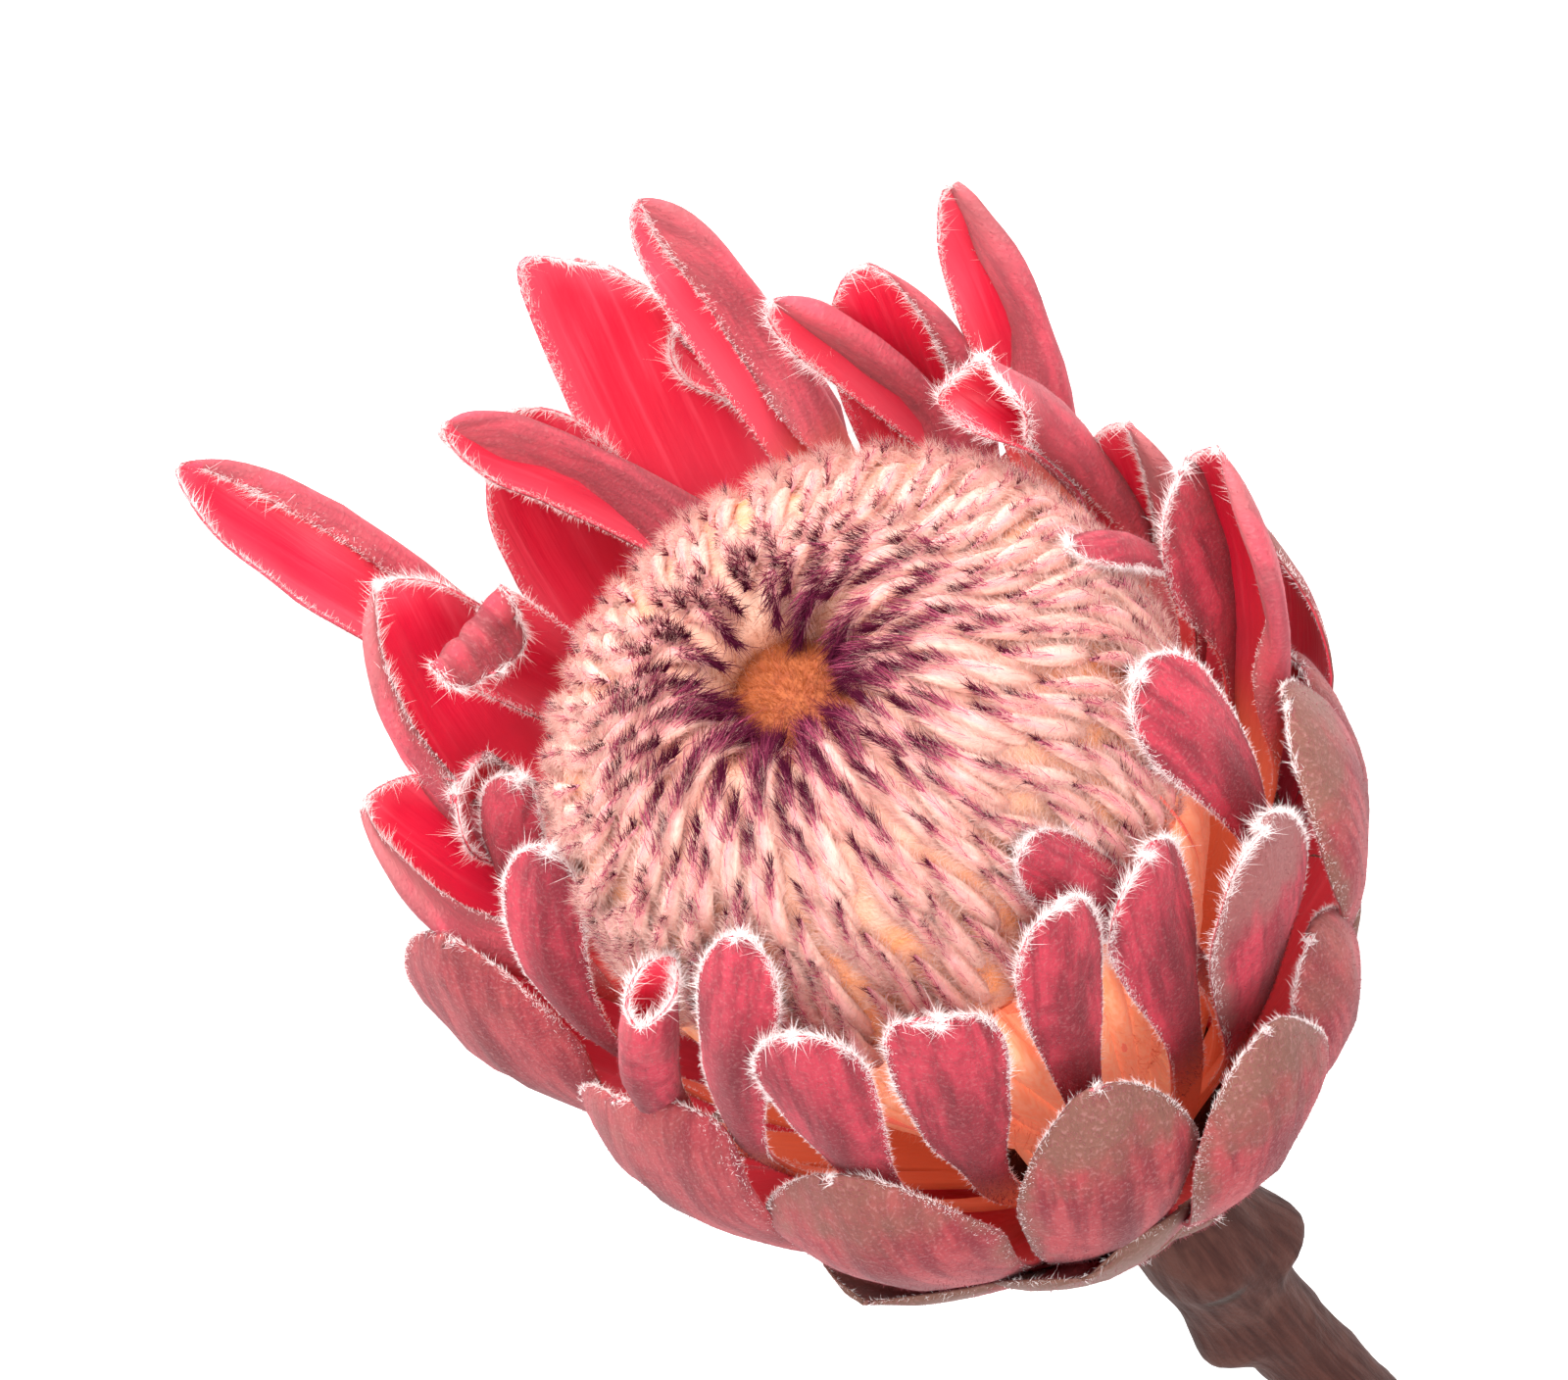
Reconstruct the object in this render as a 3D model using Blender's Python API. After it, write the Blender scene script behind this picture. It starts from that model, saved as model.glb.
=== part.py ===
"""A cut protea flower on a short woody stem, lying on a surface.

The flower faces +X and its stem trails towards -X. It rests on the plane Z = 0, with the
origin under the middle of the whole flower. Each piece of the flower head is modelled in the
head's own frame: its origin is where the head meets the stem, its Z axis runs up the middle
of the flower, and azimuth 0 is the side that faces up when the flower lies down. Tables are
in millimetres and degrees, and the scene is in metres.
"""

import math
import random
from collections import namedtuple

import bmesh
import bpy
from mathutils import Matrix, Vector

MM = 0.001

# How the flower lies
HEAD_TILT = math.radians(20.0)
HEAD_BASE_HEIGHT = 18.8
STEM_LENGTH_BEYOND_BEND = 50.0
STEM_STRAIGHT_RUN = 44.0
STEM_END = (-118.0, -18.0, 3.95)
STEM_END_HEADING = math.radians(11.0)

# The gap that separates pieces that touch on the real flower
SEAT_GAP = 0.3

# The stem
STEM_TOP_HEIGHT = 11.0
STEM_RADIUS = 4.1
KNOB_RADIUS = 6.0
STEM_SIDES = 12
STEM_RINGS = 34
PITH_DEPTH = 0.6

# The floret dome
DOME_LEAN = (-5.8, 1.5)
DOME_STRETCH = 0.1
PLUME_COUNT = 58
PLUME_LENGTH = 12.0
PLUME_WIDTH = 4.0
PLUME_HEIGHT = 1.4
GOLDEN_ANGLE = math.radians(137.508)

Row = namedtuple("Row", "root_radius root_height rise claw widens steps across thickness")
Bract = namedtuple(
    "Bract",
    "azimuth reach height width lean cup roll_left roll_right sway taper twist slant blunt hook",
    defaults=(0, 0, 2, 0),
)

# Where each kind of bract grows from, the angle it rises at, the width of its claw as a
# share of its blade, where along it the blade widens, the steps along it below the tip,
# the steps across it and its thickness. The scales are broad to the root, and the spoons
# stand on narrow claws.
ROW_BASE = Row(4.5, 13.5, 50.0, 0.75, 0.3, (0.0, 0.4), 2, 1.3)
ROW_LOW = Row(6.0, 17.0, 52.0, 0.7, 0.3, (0.0, 0.3, 0.6), 2, 1.3)
ROW_MIDDLE = Row(8.0, 19.5, 50.0, 0.6, 0.3, (0.0, 0.3, 0.6), 2, 1.3)
ROW_OUTER = Row(8.6, 22.5, 57.0, 0.5, 0.3, (0.0, 0.3, 0.6), 4, 1.2)
ROW_SPOON = Row(10.6, 30.0, 56.0, 0.36, 0.58, (0.0, 0.3, 0.6), 4, 1.1)
ROW_INNER = Row(10.6, 30.0, 56.0, 0.45, 0.3, (0.0, 0.3, 0.6), 4, 1.1)
TIP_STEPS = (0.0, 0.55, 0.88, 1.0)

# Azimuth, tip radius, tip height, width, lean of the tip (90 stands straight up, more
# leans inwards), cup (how far each edge turns in, in degrees), extra roll of the left
# and right edges, sideways sway of the tip and length of the tip's taper in widths. Some
# also twist, have one corner higher than the other, a square tip, or a tip that hooks aside.
# The first inner bracts are the spoons of the open side, and the tall ones stand behind.
OUTER_BRACTS = (
    Bract(-105, 38, 73, 21, 115, 24, 0, 10, -11, 0.7, twist=-50),
    Bract(-79, 30.5, 69.5, 23, 116, 28, 20, 10, -3, 0.5, twist=-10, slant=0.4, blunt=3.5),
    Bract(-45, 28.8, 66, 22.5, 116, 34, 10, 10, 0, 0.6),
    Bract(-17, 29.3, 66.5, 17, 114, 36, 10, 10, 18, 0.7),
    Bract(9, 33, 60.5, 20, 106, 34, 10, 10, 15, 0.8),
    Bract(66, 32.5, 68, 22, 114, 36, 20, 10, 3, 0.7),
    Bract(104, 38.8, 66.8, 20, 98, 30, 10, 10, 0, 0.7),
    Bract(84, 34, 61, 18, 106, 34, 10, 10, 0, 0.7),
    Bract(42, 31, 57, 18, 106, 34, 10, 10, 0, 0.7),
    Bract(136, 42, 65, 20, 82, 30, 10, 10, 0, 0.8),
    Bract(164, 43.5, 61, 20, 70, 22, 5, 5, 0, 0.8),
    Bract(-164, 43.5, 61, 20, 70, 22, 5, 5, 0, 0.8),
    Bract(-127, 45, 64, 20, 83, 30, 10, 10, -4, 0.7),
)
SPOON_COUNT = 17
INNER_BRACTS = (
    Bract(-9, 27, 83, 8.5, 80, 30, 0, 0, 23, 0.7),
    Bract(-31, 27, 81, 9.5, 92, 25, 0, 10, 18, 0.5, slant=-0.35, blunt=3),
    Bract(-48, 26.5, 84, 9.5, 99, 28, 0, 0, 12, 0.6),
    Bract(-73, 21, 90, 7, 123, 30, 0, 0, 30, 0.8),
    Bract(-88, 22.5, 85, 7.5, 124, 60, 30, 30, 22, 0.4, blunt=5),
    Bract(-97, 24.5, 83.5, 7, 130, 25, 0, 0, -14, 0.7, twist=-60),
    Bract(-117, 30.5, 78.5, 7, 131, 25, 0, 0, -17, 0.7, twist=-60),
    Bract(-149, 37.5, 77, 9, 104, 40, 10, 0, 15, 0.4, blunt=5),
    Bract(-165, 37, 86, 9, 91, 30, 0, 0, 16, 0.4, blunt=5),
    Bract(56, 25.5, 84, 9.5, 110, 25, 0, 0, 2, 0.7, twist=25),
    Bract(18, 27, 78, 11.5, 84, 25, 0, 0, 13, 0.6),
    Bract(40, 22, 85, 6.5, 99, 30, 0, 0, -22, 0.8),
    Bract(106, 24, 84, 4.8, 135, 50, 10, 10, -13, 0.8),
    Bract(98, 35, 80.5, 12.5, 93, 30, 0, 0, -2, 0.8, twist=60),
    Bract(111, 34.5, 87, 10, 109, 80, 40, 40, 15, 0.4, blunt=5),
    Bract(131, 38.6, 92, 6.5, 97, 60, 20, 20, 22, 0.7),
    Bract(163, 46, 88.5, 7, 85, 50, 20, 20, -4, 0.8, hook=6),
    Bract(-194, 44.5, 94.2, 7, 85, 60, 20, 20, 27, 0.8),
    Bract(-163, 46.5, 88, 13.5, 81, 35, 0, 0, -11, 0.7),
    Bract(178, 48.5, 93, 15, 78, 30, 0, 0, -8, 0.7, slant=1.05, blunt=4.5),
    Bract(157, 47, 100, 7.8, 79, 35, 0, 0, 6, 1.4),
    Bract(147, 42, 90, 13, 88, 40, 20, 20, -4, 0.8),
    Bract(129, 45.5, 95, 9, 83, 60, 20, 20, 2, 1.6),
    Bract(86, 38, 82, 14, 86, 50, 40, 40, 7, 0.6),
    Bract(112, 37.5, 76, 12, 84, 40, 10, 10, 2, 0.7),
    Bract(-133, 45, 88, 17, 81, 50, 20, 20, -18, 0.6),
    Bract(-156, 59, 101, 10.5, 69, 50, 20, 20, 6, 1.4),
    Bract(-127, 43, 81, 16, 78, 50, 20, 20, -2, 0.7),
    Bract(34, 32, 72, 14, 82, 22, 0, 0, 10, 0.7, twist=15),
)


def smoothstep(low, high, value):
    share = min(1.0, max(0.0, (value - low) / (high - low)))
    return share * share * (3.0 - 2.0 * share)


def bezier(points, t):
    """Position on a cubic curve through the first and last of four 2D or 3D points."""
    s = 1.0 - t
    weights = (s ** 3, 3 * s * s * t, 3 * s * t * t, t ** 3)
    return sum((w * p for w, p in zip(weights, points)), Vector([0.0] * len(points[0])))


def bezier_tangent(points, t):
    s = 1.0 - t
    legs = [points[i + 1] - points[i] for i in range(3)]
    return (s * s * legs[0] + 2 * s * t * legs[1] + t * t * legs[2]).normalized()


def midrib(row, bract):
    """The four control points of a bract's midrib, as (radius, height) in the head's frame."""
    root = Vector((row.root_radius, row.root_height))
    tip = Vector((bract.reach, bract.height))
    span = (tip - root).length
    rise = math.radians(row.rise)
    lean = math.radians(bract.lean)
    return (
        root,
        root + 0.4 * span * Vector((math.cos(rise), math.sin(rise))),
        tip - 0.4 * span * Vector((math.cos(lean), math.sin(lean))),
        tip,
    )


def tip_start(row, bract):
    """Share of the bract's length at which its tip starts to narrow."""
    span = math.hypot(bract.reach - row.root_radius, bract.height - row.root_height)
    return 1.0 - min(0.5, bract.taper * bract.width / span)


def lengthwise(row, bract):
    """The steps along a bract: even ones up to its tip, then closer ones round the tip."""
    start = tip_start(row, bract)
    steps = [u for u in row.steps if u < start - 0.06]
    return steps + [start + (1.0 - start) * t for t in TIP_STEPS]


def width_share(row, bract, u):
    """Width at u along the bract as a share of its full width: claw, blade and rounded tip."""
    blade = row.claw + (1.0 - row.claw) * smoothstep(row.widens, 0.82, u)
    start = tip_start(row, bract)
    past = max(0.0, (u - start) / (1.0 - start))
    return blade * max(0.05, 1.0 - past ** bract.blunt) ** (1.0 / bract.blunt)


def cross_section(half_width, turn, roll, v):
    """Sideways and inward travel from the midrib to v, on an arc that rolls up at its edge."""
    steps = 10
    sideways = 0.0
    inward = 0.0
    for k in range(steps):
        t = abs(v) * (k + 0.5) / steps
        angle = turn * t + roll * t ** 4
        sideways += math.cos(angle) * half_width * abs(v) / steps
        inward += math.sin(angle) * half_width * abs(v) / steps
    return math.copysign(sideways, v), inward


def rib_point(controls, bract, u):
    """Point of the midrib at u, with its sway and the hook at its tip."""

    def straight(t):
        radius, height = bezier(controls, t)
        azimuth = math.radians(bract.azimuth + bract.sway * t * t)
        return Vector((radius * math.cos(azimuth), radius * math.sin(azimuth), height))

    point = straight(u)
    if bract.hook:
        azimuth = math.radians(bract.azimuth + bract.sway * u * u)
        aside = Vector((-math.sin(azimuth), math.cos(azimuth), 0.0))
        share = smoothstep(0.8, 1.0, u)
        back = (straight(u - 0.02) - point).normalized()
        point += aside * (bract.hook * share) + back * (0.5 * abs(bract.hook) * share * share)
    return point


def rib_frame(controls, bract, u):
    """Midrib point at u, and the directions along it, across the blade and out of it."""
    point = rib_point(controls, bract, u)
    along = (rib_point(controls, bract, u + 0.01) - rib_point(controls, bract, u - 0.01)).normalized()
    azimuth = math.radians(bract.azimuth + bract.sway * u * u)
    across = Vector((-math.sin(azimuth), math.cos(azimuth), 0.0))
    across = (across - along * across.dot(along)).normalized()
    turn = Matrix.Rotation(-math.radians(bract.twist) * smoothstep(0.25, 0.8, u), 3, along)
    across = turn @ across
    return point, along, across, across.cross(along)


def bract_surface(row, bract):
    """Grid of points on the middle of the blade, root to tip and left edge to right edge."""
    controls = midrib(row, bract)
    start = tip_start(row, bract)
    grid = []
    for u in lengthwise(row, bract):
        point, along, across, outward = rib_frame(controls, bract, u)
        half_width = 0.5 * bract.width * width_share(row, bract, u)
        wrap = half_width / max(math.hypot(point.x, point.y), half_width)
        blade = smoothstep(0.35, 0.8, u)
        turn = (1.0 - blade) * wrap + blade * math.radians(bract.cup)
        shear = bract.slant * smoothstep(start - 0.15, 1.0, u)
        line = []
        for j in range(row.across + 1):
            v = 2.0 * j / row.across - 1.0
            roll = math.radians(bract.roll_left if v < 0 else bract.roll_right) * blade
            sideways, inward = cross_section(half_width, turn, roll, v)
            line.append(point + (across + along * shear) * sideways - outward * inward)
        grid.append(line)
    return grid


def grid_normal(grid, i, j):
    """Outward normal of a grid of points at row i, column j."""
    last_i = len(grid) - 1
    last_j = len(grid[0]) - 1
    along = grid[min(i + 1, last_i)][j] - grid[max(i - 1, 0)][j]
    across = grid[i][min(j + 1, last_j)] - grid[i][max(j - 1, 0)]
    return across.cross(along).normalized()


def add_blade(shape, grid, thickness_at):
    """Adds a closed blade round a grid of points, with both faces split along one diagonal."""
    rows = len(grid)
    columns = len(grid[0])
    faces = {1: [], -1: []}
    for side in faces:
        for i in range(rows):
            line = []
            for j in range(columns):
                offset = grid_normal(grid, i, j) * (0.5 * side * thickness_at(i, j))
                line.append(shape.verts.new((grid[i][j] + offset) * MM))
            faces[side].append(line)
    made = []
    for side, points in faces.items():
        for i in range(rows - 1):
            for j in range(columns - 1):
                a, b = points[i][j], points[i][j + 1]
                c, d = points[i + 1][j + 1], points[i + 1][j]
                made += [shape.faces.new((a, b, c)), shape.faces.new((a, c, d))]
    outer, inner = faces[1], faces[-1]
    rim = [(i, 0) for i in range(rows)] + [(rows - 1, j) for j in range(1, columns)]
    rim += [(i, columns - 1) for i in range(rows - 2, -1, -1)]
    rim += [(0, j) for j in range(columns - 2, 0, -1)]
    for k, (i, j) in enumerate(rim):
        m, n = rim[(k + 1) % len(rim)]
        made.append(shape.faces.new((outer[i][j], outer[m][n], inner[m][n], inner[i][j])))
    bmesh.ops.recalc_face_normals(shape, faces=made)


def add_bract(shape, row, bract, clearance=0.0):
    """Adds one bract, grown on every side by a clearance when it is a cutter."""
    lean = math.radians(bract.lean)
    bract = bract._replace(
        reach=bract.reach + clearance * math.cos(lean),
        height=bract.height + clearance * math.sin(lean),
        width=bract.width + 2 * clearance,
    )
    grid = bract_surface(row, bract)
    columns = len(grid[0]) - 1
    steps = lengthwise(row, bract)

    def thickness_at(i, j):
        u = steps[i]
        edge = abs(2.0 * j / columns - 1.0)
        return row.thickness * (1.25 - 0.4 * u) * (1.0 - 0.25 * edge) + 2 * clearance

    add_blade(shape, grid, thickness_at)


def add_lathe(shape, profile, sides, ripple=None):
    """Adds a turned solid from a closed outline of (radius, height); radius 0 lies on the axis.

    ripple(azimuth, radius, height) may move a point in or out."""
    rings = []
    for radius, height in profile:
        if radius == 0:
            rings.append([shape.verts.new(Vector((0, 0, height)) * MM)])
            continue
        ring = []
        for k in range(sides):
            azimuth = 2 * math.pi * k / sides
            r = radius + (ripple(azimuth, radius, height) if ripple else 0.0)
            point = Vector((r * math.cos(azimuth), r * math.sin(azimuth), height))
            ring.append(shape.verts.new(point * MM))
        rings.append(ring)
    closed = profile[0][0] > 0 and profile[-1][0] > 0
    made = []
    for index in range(len(rings) if closed else len(rings) - 1):
        low, high = rings[index], rings[(index + 1) % len(rings)]
        for k in range(sides):
            n = (k + 1) % sides
            corners = [low[k % len(low)], low[n % len(low)], high[n % len(high)], high[k % len(high)]]
            made.append(shape.faces.new(list(dict.fromkeys(corners))))
    bmesh.ops.recalc_face_normals(shape, faces=made)


def new_material(name, colour, roughness):
    material = bpy.data.materials.new(name)
    material.use_nodes = True
    shader = material.node_tree.nodes["Principled BSDF"]
    shader.inputs["Base Color"].default_value = (*colour, 1.0)
    shader.inputs["Roughness"].default_value = roughness
    shader.inputs["Metallic"].default_value = 0.0
    material.diffuse_color = (*colour, 1.0)
    return material


def new_object(name, build, parent, material=None):
    """A mesh object whose shape build(bmesh) makes, in its parent's frame."""
    shape = bmesh.new()
    build(shape)
    mesh = bpy.data.meshes.new(name)
    shape.to_mesh(mesh)
    shape.free()
    obj = bpy.data.objects.new(name, mesh)
    obj.parent = parent
    bpy.context.scene.collection.objects.link(obj)
    if material:
        mesh.materials.append(material)
    return obj


def apply_modifiers(obj):
    graph = bpy.context.evaluated_depsgraph_get()
    mesh = bpy.data.meshes.new_from_object(obj.evaluated_get(graph))
    obj.modifiers.clear()
    obj.data = mesh


def join_all(base, parts):
    """Unites base with every object in parts, by one Boolean on a collection, and removes them."""
    group = bpy.data.collections.new(base.name + "_parts")
    bpy.context.scene.collection.children.link(group)
    for part in parts:
        bpy.context.scene.collection.objects.unlink(part)
        group.objects.link(part)
    union = base.modifiers.new("join", "BOOLEAN")
    union.operation = "UNION"
    union.operand_type = "COLLECTION"
    union.collection = group
    union.solver = "MANIFOLD"
    apply_modifiers(base)
    for part in parts:
        bpy.data.objects.remove(part)
    bpy.data.collections.remove(group)


def cut(base, cutter):
    """Takes cutter's shape out of base."""
    difference = base.modifiers.new("cut", "BOOLEAN")
    difference.operation = "DIFFERENCE"
    difference.object = cutter
    difference.solver = "MANIFOLD"
    apply_modifiers(base)


def drop_loose_shells(obj):
    """Keeps the largest connected shell, which fills hollows that no air can reach."""
    shape = bmesh.new()
    shape.from_mesh(obj.data)
    left = set(shape.verts)
    shells = []
    while left:
        edge_of_shell = [left.pop()]
        shell = set(edge_of_shell)
        while edge_of_shell:
            for edge in edge_of_shell.pop().link_edges:
                for vertex in edge.verts:
                    if vertex not in shell:
                        shell.add(vertex)
                        edge_of_shell.append(vertex)
        left -= shell
        shells.append(shell)
    shells.sort(key=len)
    loose = [vertex for shell in shells[:-1] for vertex in shell]
    bmesh.ops.delete(shape, geom=loose, context="VERTS")
    shape.to_mesh(obj.data)
    shape.free()


def shade(obj, angle):
    obj.data.shade_smooth()
    obj.data.set_sharp_from_angle(angle=math.radians(angle))


# Outer bracts: the woody receptacle with the rows of broad scales that cup the flower

RECEPTACLE_PROFILE = (
    (0.0, 11.0),
    (5.4, 11.0),
    (6.8, 14.5),
    (8.8, 18.5),
    (10.6, 22.5),
    (11.6, 26.0),
    (10.8, 27.5),
    (0.0, 27.5),
)


def scale_rows():
    """The low rows of scales, by rule: row, count, tip radius and height, width, lean, start."""
    rules = (
        (ROW_BASE, 7, 13.2, 21.5, 11.5, 48, 10.0),
        (ROW_LOW, 8, 21.2, 32.5, 16.0, 52, 33.0),
        (ROW_MIDDLE, 9, 30.0, 46.5, 20.0, 60, -18.0),
    )
    chance = random.Random(11)
    for row, count, reach, height, width, lean, first in rules:
        for k in range(count):
            azimuth = first + 360.0 * k / count + chance.uniform(-4, 4)
            taller = chance.uniform(-1.0, 1.0)
            yield row, Bract(azimuth, reach, height + taller, width, lean, 36, 5, 5, 0, 0.7)


def build_outer_bracts(head, material):
    base = new_object(
        "outer_bracts", lambda s: add_lathe(s, RECEPTACLE_PROFILE, 24), head, material
    )
    blades = list(scale_rows()) + [(ROW_OUTER, b) for b in OUTER_BRACTS]
    parts = [
        new_object(f"scale_{k}", lambda s, r=row, b=bract: add_bract(s, r, b), head)
        for k, (row, bract) in enumerate(blades)
    ]
    join_all(base, parts)
    return base


# Inner bracts: a ring on the receptacle, with the spoon-shaped bracts that stand on it

RING_PROFILE = (
    (8.2, 27.5 + SEAT_GAP),
    (11.0, 27.5 + SEAT_GAP),
    (12.2, 30.0),
    (11.8, 33.0),
    (10.2, 34.5),
    (8.2, 34.5),
)


def build_inner_bracts(name, head, material=None, clearance=0.0):
    base = new_object(name, lambda s: add_lathe(s, RING_PROFILE, 24), head, material)
    rows = [ROW_SPOON] * SPOON_COUNT + [ROW_INNER] * (len(INNER_BRACTS) - SPOON_COUNT)
    parts = [
        new_object(f"bract_{k}", lambda s, r=row, b=bract: add_bract(s, r, b, clearance), head)
        for k, (row, bract) in enumerate(zip(rows, INNER_BRACTS))
    ]
    join_all(base, parts)
    return base


# Floret tubes: the packed orange lower parts of the florets, ribbed lengthwise

TUBE_RIBS = 18
TUBE_RIB_DEPTH = 0.5
TUBES_PROFILE = (
    (0.0, 27.5 + SEAT_GAP),
    (7.9, 27.5 + SEAT_GAP),
    (7.9, 35.0),
    (12.0, 40.5),
    (16.6, 47.5),
    (20.2, 54.5),
    (22.6, 60.5),
    (24.0, 66.0),
    (24.3, 68.6),
    (21.0, 68.6),
    (20.9, 70.0),
    (19.1, 77.2),
    (15.1, 83.3),
    (9.7, 86.9),
    (4.4, 87.2),
    (3.9, 89.4),
    (0.0, 90.4),
)


def tube_ripple(azimuth, radius, height):
    if 36.0 < height < 68.0:
        return TUBE_RIB_DEPTH * math.cos(TUBE_RIBS * azimuth)
    return 0.0


def lean_aside(obj):
    """Leans the tubes and the dome to the side where the bracts are tall, but not its pit."""
    for vertex in obj.data.vertices:
        height = vertex.co.z / MM
        share = smoothstep(36.0, 62.0, height) * (1.0 - 1.2 * smoothstep(78.0, 92.0, height))
        vertex.co.x *= 1.0 + DOME_STRETCH * share
        vertex.co.x += DOME_LEAN[0] * share * MM
        vertex.co.y += DOME_LEAN[1] * share * MM


def leave_room_for_bracts(obj, head):
    """Takes the inner bracts, a seat gap larger, out of what they press on."""
    room = build_inner_bracts("bract_room_cutter", head, clearance=SEAT_GAP)
    cut(obj, room)
    bpy.data.objects.remove(room)


def build_floret_tubes(head, material):
    tubes = new_object(
        "floret_tubes",
        lambda s: add_lathe(s, TUBES_PROFILE, 2 * TUBE_RIBS, tube_ripple),
        head,
        material,
    )
    lean_aside(tubes)
    leave_room_for_bracts(tubes, head)
    return tubes


# Floret plumes: the woolly tips of the florets, bending in over the dome to its hole

DOME_PROFILE = (
    (24.2, 69.0),
    (25.3, 73.0),
    (24.0, 79.5),
    (21.2, 85.5),
    (17.0, 90.3),
    (12.2, 93.4),
    (9.0, 94.3),
    (6.6, 93.6),
    (5.4, 91.2),
)
DOME_INSIDE = (
    (5.0, 87.7),
    (10.0, 87.3),
    (15.5, 83.7),
    (19.5, 77.5),
    (21.3, 70.0),
    (21.4, 69.0),
)


def dome_point(share):
    """Point and uphill direction on the dome, at a share of the way from its hole to its rim."""
    points = [Vector(p) for p in reversed(DOME_PROFILE)]
    legs = [(b - a).length for a, b in zip(points, points[1:])]
    left = share * sum(legs)
    for a, b, leg in zip(points, points[1:], legs):
        if left <= leg:
            return a.lerp(b, left / leg), (a - b).normalized()
        left -= leg
    return points[-1], (points[-2] - points[-1]).normalized()


def add_plume(shape, share, azimuth, size):
    """A four-sided spindle lying up the dome, its root sunk in and its tip raised."""
    foot, uphill = dome_point(share)
    normal = Vector((-uphill.y, uphill.x))
    if normal.x < 0 and share > 0.5 or normal.y < 0:
        normal = -normal
    spin = Matrix.Rotation(azimuth, 3, "Z")

    def place(along, side, lift):
        flat = foot + uphill * along + normal * lift
        return (spin @ Vector((flat.x, side, flat.y))) * MM

    length = PLUME_LENGTH * size
    half = 0.5 * PLUME_WIDTH * size
    high = PLUME_HEIGHT * size
    tail = shape.verts.new(place(-0.45 * length, 0, -0.6))
    tip = shape.verts.new(place(0.55 * length, 0, high))
    ring = [
        shape.verts.new(place(0.05 * length, side * half, lift))
        for side, lift in ((1, 0.1 * high), (0, 0.85 * high), (-1, 0.1 * high), (0, -0.8))
    ]
    made = []
    for k in range(4):
        made.append(shape.faces.new((ring[k], ring[(k + 1) % 4], tip)))
        made.append(shape.faces.new((ring[(k + 1) % 4], ring[k], tail)))
    bmesh.ops.recalc_face_normals(shape, faces=made)


def build_floret_plumes(head, material):
    outline = DOME_PROFILE + DOME_INSIDE
    base = new_object("floret_plumes", lambda s: add_lathe(s, outline, 32), head, material)
    chance = random.Random(5)
    parts = []
    for k in range(PLUME_COUNT):
        share = 0.09 + 0.73 * ((k + 0.5) / PLUME_COUNT) ** 0.68
        azimuth = k * GOLDEN_ANGLE
        size = (0.72 + 0.4 * share) * chance.uniform(0.92, 1.08)
        parts.append(
            new_object(
                f"plume_{k}",
                lambda s, a=share, b=azimuth, c=size: add_plume(s, a, b, c),
                head,
            )
        )
    join_all(base, parts)
    lean_aside(base)
    leave_room_for_bracts(base, head)
    return base


# Stem: woody, swollen under the head, with the scars and stubs of stripped leaves

# Distance down the stem, azimuth round it, height of the bump, its length and its width
STEM_BUMPS = (
    (8.0, -15.0, 1.0, 5.0, 60.0),
    (12.5, 72.0, 2.6, 5.0, 70.0),
    (21.0, -80.0, 2.8, 6.0, 70.0),
    (38.0, 10.0, 1.8, 4.5, 50.0),
    (56.0, -75.0, 1.4, 4.0, 45.0),
    (74.0, 70.0, 1.4, 4.0, 45.0),
    (92.0, -20.0, 1.3, 4.0, 45.0),
    (110.0, 110.0, 1.3, 4.0, 45.0),
)


def stem_radius(distance, azimuth):
    knob = math.exp(-(((distance - 7.0) / 9.0) ** 2))
    radius = STEM_RADIUS + (KNOB_RADIUS - STEM_RADIUS) * knob
    for place, around, height, length, width in STEM_BUMPS:
        away = (math.degrees(azimuth) - around + 180.0) % 360.0 - 180.0
        step = distance - place
        lengthwise_share = step / (length if step < 0 else 0.45 * length)
        radius += height * math.exp(-(lengthwise_share ** 2) - (away / (0.5 * width)) ** 2)
    return radius


def stem_controls():
    top = Vector((0, 0, HEAD_BASE_HEIGHT))
    down = -Vector((math.cos(HEAD_TILT), 0, math.sin(HEAD_TILT)))
    end = Vector(STEM_END)
    heading = Vector((-math.cos(STEM_END_HEADING), -math.sin(STEM_END_HEADING), 0))
    start = top - down * (STEM_TOP_HEIGHT - SEAT_GAP)
    return (start, start + down * STEM_STRAIGHT_RUN, end - heading * STEM_LENGTH_BEYOND_BEND, end)


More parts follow.
